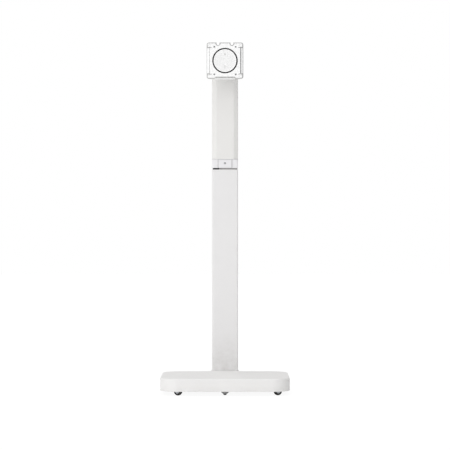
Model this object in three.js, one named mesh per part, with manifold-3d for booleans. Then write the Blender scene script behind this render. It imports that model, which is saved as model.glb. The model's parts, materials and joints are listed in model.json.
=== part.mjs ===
// Floor-standing display pole: a wheeled base, a telescopic column on a gas spring,
// and a swivel, tilt and pivot head with a quick-release mounting plate.
// Millimetres, +Z up, front towards -Y, left towards -X.
// The origin is on the floor, under the centre of the footprint.
import * as THREE from "three";
import { mergeVertices } from "three/addons/utils/BufferGeometryUtils.js";
import Module from "manifold-3d";

const wasm = await Module();
wasm.setup();

// ---------- driving dimensions ----------
const FIT = 0.3; // usual clearance between neighbouring pieces
const CHASSIS_GAP = 0.35; // clearance of the pieces that stand on the chassis
const THROUGH = [-1300, 1300]; // range of a cut that passes right through a piece

// base
const BASE_W = 410;
const BASE_FRONT = -190;
const BASE_BACK = 130;
const BASE_BOTTOM = 14;
const BASE_TOP = 54;
const BASE_WALL = 3;
const BASE_MID_Y = (BASE_FRONT + BASE_BACK) / 2;
const CHASSIS_BOTTOM = 38;
const CHASSIS_TOP = CHASSIS_BOTTOM + 5;

// bolts and threaded rods
const BOLT_R = 4;
const BOLT_HOLE_R = 4.4;
const FOOT_BOLT_X = 25;
const GLIDE_Y = -165;

// column: a mast slides in the front chamber of a fixed tube
const COLUMN_W = 86;
const COLUMN_D = 46;
const COLUMN_FRONT = 140.5;
const COLUMN_BACK = COLUMN_FRONT + COLUMN_D;
const COLUMN_MID_Y = (COLUMN_FRONT + COLUMN_BACK) / 2;
const COLUMN_R = 5;
const COLUMN_WALL = 2.5;
const COLUMN_BOTTOM = 49.3;
const COLUMN_TOP = 720.8;
const CHAMBER_W = COLUMN_W - 2 * COLUMN_WALL;
const CHAMBER_D = 28;
const COLLAR_BOTTOM = 725.2;
const COLLAR_TOP = 754.3;
const TENSION_SCREW_Z = 741.7;

// channel that carries the gas spring
const CHANNEL_X = [-37.5, 37.5];
const CHANNEL_Y = [145, 169];
const CHANNEL_TOP = 340;

// mast
const MAST_Y = COLUMN_FRONT + COLUMN_WALL + CHAMBER_D / 2; // shared with the front chamber
const MAST_W = 68;
const MAST_D = 24;
const MAST_BOTTOM = 382;
const MAST_TOP = 1102;
const PISTON_TOP = 602;
const GAS_PIN_Z = 657;
const GAS_PIN_HOLE_R = 3.4;

// head
const HEAD_Z = 1075.5;
const SWIVEL_Y = 121;
const TILT_Y = 102;
const PIN_R = 4;
const PIN_HOLE_R = 4.35;
const HUB_SCREW_DZ = 20;
const ROTOR_BORE_R = 26.3;
const PLATE = 120; // side of the square mounting plate
const PLATE_FRONT = 72;
const PLATE_SCREWS = [[-35, 45], [35, 45], [-35, -45], [35, -45]] // x, z above the head centre
  .map(([x, dz]) => [x, HEAD_Z + dz]);

// ---------- helpers ----------
const QUARTER = Math.PI / 2;
const SIDES = [-1, 1]; // left, right

// The x range from near to far out, on one side of the middle.
const rangeOn = (side, near, far) => (side > 0 ? [near, far] : [-far, -near]);
// The range of a given size about a middle.
const about = (middle, size) => [middle - size / 2, middle + size / 2];

function solid(geometry) {
  const bare = geometry.index ? geometry.toNonIndexed() : geometry;
  const positions = new THREE.BufferGeometry();
  positions.setAttribute("position", bare.getAttribute("position"));
  const merged = mergeVertices(positions, 1e-4);
  const vertProperties = new Float32Array(merged.attributes.position.array);
  const triVerts = new Uint32Array(merged.index.array);
  const build = () => new wasm.Manifold(new wasm.Mesh({ numProp: 3, vertProperties, triVerts }));
  const result = build();
  if (result.volume() >= 0) return result;
  // the faces point inwards: turn them round
  for (let i = 0; i < triVerts.length; i += 3) {
    [triVerts[i + 1], triVerts[i + 2]] = [triVerts[i + 2], triVerts[i + 1]];
  }
  return build();
}
const join = (...list) => list.reduce((a, b) => a.add(b));
const cut = (body, ...tools) => tools.reduce((a, b) => a.subtract(b), body);
const meet = (a, b) => a.intersect(b);

function geometryOf(piece) {
  const { numProp, numVert, vertProperties, triVerts } = piece.getMesh();
  const points = new Float32Array(numVert * 3);
  for (let i = 0; i < numVert; i++) {
    for (let k = 0; k < 3; k++) points[3 * i + k] = vertProperties[numProp * i + k];
  }
  const geometry = new THREE.BufferGeometry();
  geometry.setAttribute("position", new THREE.BufferAttribute(points, 3));
  geometry.setIndex(new THREE.BufferAttribute(new Uint32Array(triVerts), 1));
  geometry.computeVertexNormals();
  return geometry;
}

// A closed outline that starts on its low edge and runs straight from arc to arc.
// arcs: centre x, centre y, radius, start and end in quarter turns (clockwise if end < start).
function arcOutline(low, arcs) {
  const shape = new THREE.Shape();
  shape.moveTo(arcs.at(-1)[0], low);
  shape.lineTo(arcs[0][0], low);
  for (const [x, y, radius, start, end] of arcs) {
    shape.absarc(x, y, radius, start * QUARTER, end * QUARTER, end < start);
  }
  return shape;
}
// radius: one for all corners, or a list of low left, low right, high right, high left.
function roundRect(width, height, radius, x = 0, y = 0) {
  const [r0, r1, r2, r3] = Array.isArray(radius) ? radius : Array(4).fill(radius);
  const [left, right] = about(x, width);
  const [low, high] = about(y, height);
  return arcOutline(low, [
    [right - r1, low + r1, r1, -1, 0],
    [right - r2, high - r2, r2, 0, 1],
    [left + r3, high - r3, r3, 1, 2],
    [left + r0, low + r0, r0, 2, 3],
  ]);
}
function polygon(points) {
  const shape = new THREE.Shape();
  points.forEach(([x, y], i) => (i ? shape.lineTo(x, y) : shape.moveTo(x, y)));
  shape.closePath();
  return shape;
}

// Prisms between two levels of one axis. bevel rounds both ends, inside the same outline and
// length, in a number of steps; curve is the number of segments to an arc.
function extrude(shape, [from, to], { bevel = 0, steps = 3, curve = 5 }) {
  return new THREE.ExtrudeGeometry(shape, {
    depth: to - from - 2 * bevel,
    bevelEnabled: bevel > 0,
    bevelSize: bevel,
    bevelThickness: bevel,
    bevelOffset: -bevel,
    bevelSegments: steps,
    curveSegments: curve,
  });
}
// shape in XY
function prismZ(shape, range, options = {}) {
  const { bevel = 0 } = options;
  return solid(extrude(shape, range, options).translate(0, 0, range[0] + bevel));
}
// shape in XZ
function prismY(shape, range, options = {}) {
  const { bevel = 0 } = options;
  const geometry = extrude(shape, range, options).rotateX(QUARTER);
  return solid(geometry.translate(0, range[1] - bevel, 0));
}
// shape in YZ, no bevel
function prismX(shape, range, options = {}) {
  const geometry = extrude(shape, range, options).rotateX(QUARTER).rotateZ(QUARTER);
  return solid(geometry.translate(range[0], 0, 0));
}
function box([x0, x1], [y0, y1], [z0, z1]) {
  const geometry = new THREE.BoxGeometry(x1 - x0, y1 - y0, z1 - z0);
  return solid(geometry.translate((x0 + x1) / 2, (y0 + y1) / 2, (z0 + z1) / 2));
}

// Cylinders along one axis; the two coordinates place the centre line.
const cylinder = (radius, [from, to], segments) =>
  new THREE.CylinderGeometry(radius, radius, to - from, segments);
const middle = ([from, to]) => (from + to) / 2;
const cylZ = (radius, range, x, y, segments = 20) =>
  solid(cylinder(radius, range, segments).rotateX(QUARTER).translate(x, y, middle(range)));
const cylY = (radius, range, x, z, segments = 20) =>
  solid(cylinder(radius, range, segments).translate(x, middle(range), z));
const cylX = (radius, range, y, z, segments = 20) =>
  solid(cylinder(radius, range, segments).rotateZ(QUARTER).translate(middle(range), y, z));

// Turned pieces; profile is a list of [radius, place along the axis].
const lathe = (profile, segments) =>
  new THREE.LatheGeometry(profile.map(([r, along]) => new THREE.Vector2(r, along)), segments);
const turnZ = (profile, segments, x = 0, y = 0) =>
  solid(lathe(profile, segments).rotateX(QUARTER).translate(x, y, 0));
const turnY = (profile, segments, x, z) => solid(lathe(profile, segments).translate(x, 0, z));

const paint = (look) => new THREE.MeshStandardMaterial(look);
const MATERIALS = {
  cover: paint({ color: 0xe9e8e6, roughness: 0.55 }),
  column: paint({ color: 0xe8e7e9, roughness: 0.5 }),
  sleeve: paint({ color: 0xe6e5e3, roughness: 0.55 }),
  collar: paint({ color: 0xe9e7e9, roughness: 0.5 }),
  plate: paint({ color: 0xf6f6f6, roughness: 0.45 }),
  hub: paint({ color: 0xf0f0f0, roughness: 0.45 }),
  ring: paint({ color: 0x3c3c3e, roughness: 0.8 }),
  black: paint({ color: 0x161617, roughness: 0.6 }),
  nylon: paint({ color: 0x55565a, roughness: 0.6 }),
  steel: paint({ color: 0x9a9ca0, roughness: 0.4, metalness: 1 }),
  zinc: paint({ color: 0xb5b8bd, roughness: 0.35, metalness: 1 }),
  chassis: paint({ color: 0x2f3033, roughness: 0.6, metalness: 0.2 }),
  iron: paint({ color: 0x4a4b4e, roughness: 0.8, metalness: 0.4 }),
  wheel: paint({ color: 0x1a1a1b, roughness: 0.7 }),
};

const stand = new THREE.Group();
stand.name = "display_pole";

function put(name, piece, material, parent = stand) {
  const mesh = new THREE.Mesh(geometryOf(piece), MATERIALS[material]);
  mesh.name = name;
  parent.add(mesh);
}

// ---------- shared outlines ----------
const columnOutline = (extra = 0, radius = COLUMN_R) =>
  roundRect(COLUMN_W + extra, COLUMN_D + extra, radius, 0, COLUMN_MID_Y);
const chamberOutline = (extra, radius) =>
  roundRect(CHAMBER_W + extra, CHAMBER_D + extra, radius, 0, MAST_Y);
const mastOutline = (extra, radius) =>
  roundRect(MAST_W + extra, MAST_D + extra, radius, 0, MAST_Y);
const mastBore = () => prismZ(mastOutline(0.7, 3.2), THROUGH, { curve: 3 });
// slot behind the mast, in the bush and the collar
const rearSlot = () => box([-24, 24], [175.5, 183], THROUGH);

// ---------- base ----------
// Outline of the cover, moved in by inset: a rounded rectangle with a rear tab
// that wraps the foot of the column.
function baseOutline(inset) {
  const side = BASE_W / 2 - inset;
  const front = BASE_FRONT + inset;
  const back = BASE_BACK - inset;
  const corner = 58 - inset;
  const tabSide = 92 / 2 - Math.min(inset, 2); // the tab's side walls are thinner
  const tabBack = 190 - inset;
  const tabCorner = 9 - inset;
  const flare = 16 + inset; // concave radius where the tab meets the back edge
  return arcOutline(front, [
    [side - corner, front + corner, corner, -1, 0],
    [side - corner, back - corner, corner, 0, 1],
    [tabSide + flare, back + flare, flare, -1, -2],
    [tabSide - tabCorner, tabBack - tabCorner, tabCorner, 0, 1],
    [-tabSide + tabCorner, tabBack - tabCorner, tabCorner, 1, 2],
    [-tabSide - flare, back + flare, flare, 0, -1],
    [-side + corner, back - corner, corner, 1, 2],
    [-side + corner, front + corner, corner, 2, 3],
  ]);
}

function addBaseCover() {
  // drawn too deep, then cut off, so that only the top edge is rounded
  const blank = prismZ(baseOutline(0), [BASE_BOTTOM - 8, BASE_TOP], { bevel: 4, curve: 8 });
  let cover = cut(
    blank,
    box([-300, 300], [-300, 300], [-20, BASE_BOTTOM]),
    prismZ(baseOutline(BASE_WALL), [-5, BASE_TOP - BASE_WALL], { curve: 8 }),
    prismZ(columnOutline(1, COLUMN_R + 0.5), [20, BASE_TOP + 5]),
  );
  // bosses under the top, as [x, y]
  const bosses = [[-185, -90], [185, -90], [-185, 40], [185, 40], [-90, 114], [90, 114]];
  for (const [x, y] of bosses) {
    cover = join(cover, cylZ(5, [CHASSIS_TOP + CHASSIS_GAP, BASE_TOP - 2], x, y, 10));
  }
  put("base_cover", cover, "cover");
}

function addChassis() {
  const outline = (inset) =>
    roundRect(BASE_W - 8 - 2 * inset, 312 - 2 * inset, 54 - inset, 0, BASE_MID_Y);
  const rim = cut(
    prismZ(outline(0), [28, CHASSIS_BOTTOM + 1], { curve: 7 }),
    prismZ(outline(2.5), [20, CHASSIS_BOTTOM + 2], { curve: 7 }),
  );
  let plate = join(prismZ(outline(0), [CHASSIS_BOTTOM, CHASSIS_TOP], { curve: 7 }), rim);
  // gap in the back of the rim, and the tongue that carries the column
  plate = cut(plate, box([-45, 45], [120, 135], [20, CHASSIS_BOTTOM]));
  plate = join(plate, box([-41.5, 41.5], [110, 184.5], [CHASSIS_BOTTOM, CHASSIS_TOP]));
  // two stiffening ribs on the underside
  for (const y of [-112, 54]) {
    plate = join(plate, box([-115, 115], [y, y + 6], [CHASSIS_BOTTOM - 5, CHASSIS_BOTTOM + 1]));
  }
  plate = cut(plate, cylZ(4.6, THROUGH, 0, GLIDE_Y));
  for (const side of SIDES) {
    plate = cut(plate, cylZ(4.5, THROUGH, side * FOOT_BOLT_X, MAST_Y, 16));
  }
  put("chassis_plate", plate, "chassis");
}

function addBallast() {
  const levels = [CHASSIS_TOP + CHASSIS_GAP, BASE_TOP - BASE_WALL - 0.6];
  const slab = prismZ(roundRect(330, 230, 20, 0, BASE_MID_Y), levels, { curve: 4 });
  const notch = prismZ(roundRect(110, 60, 8, 0, 85), THROUGH, { curve: 3 });
  put("ballast_plate", cut(slab, notch), "iron");
}

function addColumnFoot() {
  const floor = COLUMN_BOTTOM - FIT;
  // open at the back, with 3 mm walls
  const channel = cut(
    box(CHANNEL_X, CHANNEL_Y, [CHASSIS_TOP + 1, CHANNEL_TOP]),
    box([-34.5, 34.5], [148, 172], [floor, CHANNEL_TOP + 5]),
  );
  let foot = join(box([-41.5, 41.5], [142.2, 184.8], [CHASSIS_TOP + FIT, floor]), channel);
  for (const side of SIDES) {
    const x = side * FOOT_BOLT_X;
    foot = join(foot, box(about(x, 18), about(MAST_Y, 18), [48, 59]));
    foot = cut(foot, cylZ(BOLT_HOLE_R, THROUGH, x, MAST_Y, 16));
  }
  put("column_foot", foot, "steel");
}

function addFootBolt(name, x) {
  const head = cylZ(8, [CHASSIS_BOTTOM - 6 - FIT, CHASSIS_BOTTOM - FIT], x, MAST_Y, 6);
  const socket = cylZ(3.5, [CHASSIS_BOTTOM - 8, CHASSIS_BOTTOM - 3.3], x, MAST_Y, 6);
  const shank = cylZ(BOLT_R, [CHASSIS_BOTTOM - 1, 61], x, MAST_Y, 16);
  put(name, join(cut(head, socket), shank), "zinc");
}

// ---------- column ----------
function addColumnTube() {
  const rearDepth = 10.5;
  const rearY = COLUMN_BACK - COLUMN_WALL - rearDepth / 2;
  const tube = cut(
    prismZ(columnOutline(), [COLUMN_BOTTOM, COLUMN_TOP]),
    prismZ(chamberOutline(0, 3), THROUGH, { curve: 3 }),
    prismZ(roundRect(CHAMBER_W, rearDepth, 2, 0, rearY), THROUGH, { curve: 2 }),
    box([-20, 20], [COLUMN_BACK - 4, COLUMN_BACK + 2], THROUGH),
  );
  put("column_tube", tube, "column");
}

// Strip that fills the rear slot of the tube, with a wider flange inside.
function addColumnRearCover() {
  const levels = [COLUMN_BOTTOM + 50, COLUMN_TOP - 30];
  const strip = join(
    box([-19.6, 19.6], [COLUMN_BACK - 3.2, COLUMN_BACK - 0.1], levels),
    box([-23, 23], [COLUMN_BACK - 5, COLUMN_BACK - COLUMN_WALL - 0.4], levels),
  );
  put("column_rear_cover", strip, "sleeve");
}

function addSpringAnchor() {
  const block = box(CHANNEL_X, CHANNEL_Y, [CHANNEL_TOP + FIT, CHANNEL_TOP + 6 + FIT]);
  put("spring_anchor", cut(block, cylZ(BOLT_HOLE_R, THROUGH, 0, MAST_Y, 16)), "steel");
}

function addGasSpringRod() {
  const rod = join(
    cylZ(BOLT_R, [CHANNEL_TOP - 8, PISTON_TOP - 5], 0, MAST_Y, 16),
    cylZ(6.5, [CHANNEL_TOP + 6.6, CHANNEL_TOP + 11.6], 0, MAST_Y, 6), // nut
    cylZ(6.4, [PISTON_TOP - 11, PISTON_TOP], 0, MAST_Y, 16), // piston
  );
  put("gas_spring_rod", rod, "zinc");
}

// Plastic bush that closes the column and guides the mast.
function addGuideBush() {
  const flange = [COLUMN_TOP + FIT, COLLAR_BOTTOM - FIT];
  const neck = [COLUMN_TOP + 1, COLLAR_TOP - 3.3];
  const body = join(
    prismZ(chamberOutline(-0.8, 2.6), [COLUMN_TOP - 30, COLUMN_TOP + 0.5], { curve: 3 }),
    prismZ(columnOutline(-4, COLUMN_R - 2), flange, { curve: 4 }),
    prismZ(roundRect(76, 27.4, 2.6, 0, MAST_Y), neck, { curve: 3 }),
  );
  // recess for the height lock, front left
  const recess = box([-44, -11], [138, 144.4], flange);
  put("guide_bush", cut(body, mastBore(), recess, rearSlot()), "nylon");
}

function addCollar() {
  // the insert stands left in its window
  const window = [-23.2, 25.8];
  const insert = [-22.3, 21.6];
  const collar = cut(
    prismZ(columnOutline(), [COLLAR_BOTTOM, COLLAR_TOP], { bevel: 0.6, steps: 1 }),
    prismZ(roundRect(76.8, 28.2, 3, 0, MAST_Y), THROUGH, { curve: 3 }),
    rearSlot(),
    box(window, [138, 144], THROUGH),
  );
  put("collar", collar, "collar");

  const collarMid = (COLLAR_BOTTOM + COLLAR_TOP) / 2;
  const panel = roundRect(insert[1] - insert[0], 28.2, 0.8, middle(insert), collarMid);
  const screwHole = cylY(3.3, THROUGH, 0, TENSION_SCREW_Z);
  const front = cut(prismY(panel, [COLUMN_FRONT, 142.8], { curve: 2 }), screwHole);
  put("collar_front_insert", front, "collar");
}

function addTensionScrew() {
  const screw = cut(
    join(
      cylY(2.9, [141.1, 142.9], 0, TENSION_SCREW_Z),
      cylY(2, [142, 142.95], 0, TENSION_SCREW_Z, 16),
    ),
    cylY(1.5, [139, 142.3], 0, TENSION_SCREW_Z, 6),
  );
  put("tension_screw", screw, "zinc");
}

function addHeightLock() {
  const levels = [COLUMN_TOP + 0.4, COLLAR_BOTTOM - 0.4];
  const slider = join(
    box([-40, -20], [140.9, 144.05], levels),
    box([-34, -26], [140.2, 141.4], levels),
  );
  put("height_lock_slider", slider, "black");
}

// ---------- casters and glide foot ----------
// place, x, y, yaw in degrees
const CASTERS = [
  ["front_left", -157, -155, -21],
  ["front_right", 157, -155, 17],
  ["rear_left", -157, 92, 28],
  ["rear_right", 157, 92, -12],
];
const WHEEL_R = 13;
const WHEEL_HALF = 6; // half the wheel's width
const TRAIL = 10; // from the kingpin to the axle
const CHEEK_IN = WHEEL_HALF + 0.6; // inner face of a fork cheek
const CHEEK_OUT = CHEEK_IN + 1.6;

// top plate, raceway and riveted kingpin
function casterMount() {
  return join(
    prismZ(roundRect(38, 32, 3), [CHASSIS_BOTTOM - 2 - FIT, CHASSIS_BOTTOM - FIT], { curve: 3 }),
    turnZ([[0, 33.2], [10, 33.2], [12, 34.4], [12, 36], [0, 36]], 16),
    cylZ(3, [29.4, 35], 0, 0, 12),
    turnZ([[0, 28], [3, 28], [4.6, 28.8], [4.6, 29.8], [0, 29.8]], 12),
  );
}

// pressed fork: a top disc and two cheeks that reach back to the axle
function casterFork() {
  const top = 32.8;
  const underside = 30.6;
  const cheek = new THREE.Shape();
  cheek.moveTo(-8, top);
  cheek.lineTo(11, top);
  cheek.lineTo(16.6, 14.5);
  cheek.absarc(TRAIL, WHEEL_R, 6.6, 0.2, -Math.PI * 0.86, true);
  cheek.lineTo(-8, 27);
  cheek.closePath();
  const fork = join(
    ...SIDES.map((side) => prismY(cheek, rangeOn(side, CHEEK_IN, CHEEK_OUT), { curve: 6 })),
    cylZ(11.5, [underside, top], 0, 0, 16),
    box([-8, 11], [-CHEEK_OUT, CHEEK_OUT], [underside, top]),
  );
  return cut(fork, cylZ(3.4, THROUGH, 0, 0, 12), cylY(2.2, THROUGH, TRAIL, WHEEL_R, 10));
}

function casterAxle() {
  const pin = cylY(1.9, about(0, 2 * (CHEEK_IN + 2.2)), TRAIL, WHEEL_R, 10);
  const heads = SIDES.map((side) =>
    cylY(3.2, rangeOn(side, CHEEK_IN + 1.9, CHEEK_IN + 2.9), TRAIL, WHEEL_R, 10));
  return join(pin, ...heads);
}

function casterWheel() {
  // radius, and how far the flank lies in from the full width
  const flank = [[2.2, 0], [5, 0], [5.6, 1], [9.6, 1], [10.4, 0.4], [12.4, 1.6]];
  const profile = [
    ...flank.map(([r, inset]) => [r, inset - WHEEL_HALF]),
    [WHEEL_R, 0],
    ...flank.map(([r, inset]) => [r, WHEEL_HALF - inset]).reverse(),
    [2.2, -WHEEL_HALF],
  ];
  return turnY(profile, 20, TRAIL, WHEEL_R);
}

function addCaster(place, x, y, yaw) {
  const caster = new THREE.Group();
  caster.position.set(x, y, 0);
  caster.rotation.z = THREE.MathUtils.degToRad(yaw);
  stand.add(caster);
  put(`caster_${place}_mount`, casterMount(), "zinc", caster);
  put(`caster_${place}_fork`, casterFork(), "zinc", caster);
  put(`caster_${place}_axle`, casterAxle(), "steel", caster);
  put(`caster_${place}_wheel`, casterWheel(), "wheel", caster);
}

function addGlideFoot() {
  const profile = [
    [0, 2], [3.4, 2.2], [4.8, 3.2], [5.2, 5], [8, 7.4], [11.6, 10.6], [12.2, 12],
    [12.2, 15], [6, 17.6], [BOLT_R, 18], [BOLT_R, 44.3], [0, 44.3],
  ];
  put("glide_foot", turnZ(profile, 20, 0, GLIDE_Y), "zinc");
  const nut = cylZ(7.5, [31.6, CHASSIS_BOTTOM - FIT], 0, GLIDE_Y, 6);
  put("glide_locknut", cut(nut, cylZ(BOLT_HOLE_R, THROUGH, 0, GLIDE_Y, 16)), "zinc");
}

// ---------- mast ----------
const gasPinHole = () => cylX(GAS_PIN_HOLE_R, THROUGH, MAST_Y, GAS_PIN_Z, 16);

function addMast() {
  const tube = cut(
    prismZ(mastOutline(0, 3), [MAST_BOTTOM, MAST_TOP], { curve: 3 }),
    prismZ(mastOutline(-4, 1.5), THROUGH, { curve: 2 }),
    gasPinHole(),
  );
  put("mast_tube", tube, "steel");
  const shoe = prismZ(chamberOutline(-0.8, 2.6), [MAST_BOTTOM + 1, MAST_BOTTOM + 41], { curve: 3 });
  put("mast_shoe", cut(shoe, mastBore()), "nylon");
}

function addGasSpring() {
  // up the outside of the cylinder, then down its bore
  const top = GAS_PIN_Z + 9;
  const profile = [
    [4.4, MAST_BOTTOM + 5], [8.5, MAST_BOTTOM + 5], [8.5, MAST_BOTTOM + 265],
    [6.4, MAST_BOTTOM + 269], [6.4, top], [0, top],
    [0, MAST_BOTTOM + 263], [6.8, MAST_BOTTOM + 263], [6.8, MAST_BOTTOM + 13],
    [4.4, MAST_BOTTOM + 13], [4.4, MAST_BOTTOM + 5],
  ];
  put("gas_spring_cylinder", cut(turnZ(profile, 20, 0, MAST_Y), gasPinHole()), "black");
  put("gas_spring_pin", cylX(3, [-33.8, 33.8], MAST_Y, GAS_PIN_Z, 14), "zinc");
}

// Bracket at the top of the mast: a base plate and two ears for the swivel pin.
function addHeadBracket() {
  const ear = new THREE.Shape();
  ear.moveTo(-10, SWIVEL_Y);
  ear.absarc(0, SWIVEL_Y, 10, Math.PI, 2 * Math.PI, false);
  ear.lineTo(14, 135);
  ear.lineTo(-14, 135);
  ear.closePath();
  const bracket = join(
    prismY(roundRect(40, 56, 4, 0, HEAD_Z), [132, 144.65], { curve: 3 }),
    prismZ(ear, [HEAD_Z + 21.8, HEAD_Z + 27.8], { curve: 10 }),
    prismZ(ear, [HEAD_Z - 27.8, HEAD_Z - 21.8], { curve: 10 }),
  );
  put("head_bracket", cut(bracket, cylZ(PIN_HOLE_R, THROUGH, 0, SWIVEL_Y, 18)), "steel");

  const pin = join(
    cylZ(PIN_R, [HEAD_Z - 30, HEAD_Z + 30], 0, SWIVEL_Y, 18),
    cylZ(6.5, [HEAD_Z + 28.1, HEAD_Z + 31.5], 0, SWIVEL_Y, 18), // round head
    cylZ(6.5, [HEAD_Z - 31.5, HEAD_Z - 28.1], 0, SWIVEL_Y, 6), // hexagonal end
  );
  put("swivel_pin", pin, "zinc");
}

// ---------- upper sleeve ----------
const SLEEVE_BOTTOM = 755;
const SLEEVE_TOP = 1104;
const SLEEVE_SPLIT = 163; // y where the front and rear shells meet

// A corner softened into three points, between unit directions in and out.
function softCorner(x, y, [inX, inY], [outX, outY]) {
  const reach = 3;
  const mid = reach * 0.32;
  return [
    [x - inX * reach, y - inY * reach],
    [x - inX * mid + outX * mid, y - inY * mid + outY * mid],
    [x + outX * reach, y + outY * reach],
  ];
}

// Flat front between two sloping faces, flat sides, rounded at the back; moved in by inset.
function sleeveOutline(inset) {
  const slopeX = 14;
  const slopeY = 8;
  const slope = Math.hypot(slopeX, slopeY);
  const half = COLUMN_W / 2 - inset;
  const front = COLUMN_FRONT + inset;
  const back = COLUMN_BACK - inset;
  const radius = 10 - inset;
  // where the sloping face meets the front, and where it meets the side
  const flat = COLUMN_W / 2 - slopeX - (inset * (slope - slopeX)) / slopeY;
  const side = front + ((half - flat) * slopeY) / slopeX;
  const along = [slopeX / slope, slopeY / slope];
  const right = [
    ...softCorner(flat, front, [1, 0], along),
    ...softCorner(half, side, along, [0, 1]),
  ];
  for (let i = 0; i <= 6; i++) {
    const angle = (i * Math.PI) / 12;
    const x = half - radius + radius * Math.cos(angle);
    right.push([x, back - radius + radius * Math.sin(angle)]);
  }
  return polygon([...right, ...right.map(([x, y]) => [-x, y]).reverse()]);
}

function addSleeve() {
  const outline = sleeveOutline(0);
  const shell = cut(
    prismZ(outline, [SLEEVE_BOTTOM, SLEEVE_TOP]),
    prismZ(sleeveOutline(2.2), THROUGH),
  );
  // inner ribs, 2 mm thick, with a hole for the mast and a slot behind it
  const mastHole = prismZ(mastOutline(0.8, 3.4), THROUGH, { curve: 3 });
  const slot = box([-30, 30], [175, 183], THROUGH);
  const ribs = [16, 130, 268].map((height) => {
    const z = SLEEVE_BOTTOM + height;
    return cut(prismZ(outline, [z, z + 2]), mastHole, slot);
  });
  const full = join(shell, ...ribs);
  const half = (range) => meet(full, box([-60, 60], range, [700, 1200]));
  const opening = prismY(roundRect(42, 61, 5, 0, HEAD_Z - 0.4), [130, 150], { curve: 3 });
  put("sleeve_front", cut(half([100, SLEEVE_SPLIT - 0.15]), opening), "sleeve");
  put("sleeve_rear", half([SLEEVE_SPLIT + 0.15, 220]), "sleeve");

  // drawn too deep, then cut off, so that only its top edge is rounded
  const cap = prismZ(outline, [SLEEVE_TOP - 6, SLEEVE_TOP + 9], { bevel: 3 });
  put("sleeve_cap", meet(cap, box([-60, 60], [100, 220], [SLEEVE_TOP + 0.4, 1200])), "sleeve");
}

// ---------- swivel yoke ----------
const tiltPinHole = () => cylX(PIN_HOLE_R, THROUGH, TILT_Y, HEAD_Z, 18);

function addSwivelYoke() {
  const earR = 9;
  const back = 117;
  const ear = new THREE.Shape();
  ear.absarc(TILT_Y, HEAD_Z, earR, QUARTER, 3 * QUARTER, false);
  ear.lineTo(back, HEAD_Z - earR);
  ear.lineTo(back, HEAD_Z + earR);
  ear.closePath();
  const yoke = join(
    cylZ(9, [HEAD_Z - 21.4, HEAD_Z + 21.4], 0, SWIVEL_Y, 24),
    box([-24, 24], [111.3, back], [HEAD_Z - earR, HEAD_Z + earR]),
    ...SIDES.map((side) => prismX(ear, rangeOn(side, 18, 24), { curve: 10 })),
  );
  put("swivel_yoke", cut(yoke, cylZ(6.4, THROUGH, 0, SWIVEL_Y, 18), tiltPinHole()), "steel");

  const bush = cylZ(6, [HEAD_Z - 21.3, HEAD_Z + 21.3], 0, SWIVEL_Y, 18);
  put("swivel_bush", cut(bush, cylZ(PIN_HOLE_R, THROUGH, 0, SWIVEL_Y, 18)), "nylon");

  const pin = cylX(PIN_R, [-27, 30.5], TILT_Y, HEAD_Z, 18);
  put("tilt_pin", join(pin, cylX(6.8, [-28, -24.4], TILT_Y, HEAD_Z, 18)), "zinc");
  put("tilt_nut", cut(cylX(7.2, [24.4, 29.6], TILT_Y, HEAD_Z, 6), tiltPinHole()), "zinc");
}

// ---------- tilt knuckle and hub ----------
const HUB_SCREWS = [["top", HEAD_Z + HUB_SCREW_DZ], ["bottom", HEAD_Z - HUB_SCREW_DZ]];

function addTiltKnuckle() {
  const knuckle = join(
    cylX(8.5, [-17.6, 17.6], TILT_Y, HEAD_Z, 24),
    box([-13, 13], [84, 97], [HEAD_Z - 7.5, HEAD_Z + 7.5]),
    cylY(35, [79.7, 85.2], 0, HEAD_Z, 36),
    cylY(25.7, [74.2, 80.5], 0, HEAD_Z, 32),
  );
  const screwHoles = HUB_SCREWS.map(([, z]) => cylY(2.1, [70, 82], 0, z, 12));
  put("tilt_knuckle", cut(knuckle, tiltPinHole(), ...screwHoles), "steel");
}

function addHub() {
  const disc = new THREE.Shape().absarc(0, HEAD_Z, 37.4, 0, 2 * Math.PI, false);
  let cap = prismY(disc, [72.2, 73.9], { bevel: 0.4, steps: 1, curve: 20 });
  for (const [, z] of HUB_SCREWS) {
    cap = cut(cap, cylY(3.6, [70, 73.2], 0, z, 16), cylY(2.1, THROUGH, 0, z, 12));
  }
  put("hub_cap", cap, "hub");

  for (const [place, z] of HUB_SCREWS) {
    const screw = join(cylY(3.3, [72.3, 72.9], 0, z, 16), cylY(1.75, [72.8, 80.5], 0, z, 12));
    put("hub_screw_" + place, cut(screw, cylY(1.3, [70, 72.6], 0, z, 6)), "hub");
  }

  const ring = cylY(41.2, [74.25, 75.3], 0, HEAD_Z, 48);
  put("friction_ring", cut(ring, cylY(ROTOR_BORE_R, THROUGH, 0, HEAD_Z, 32)), "ring");
}

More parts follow.
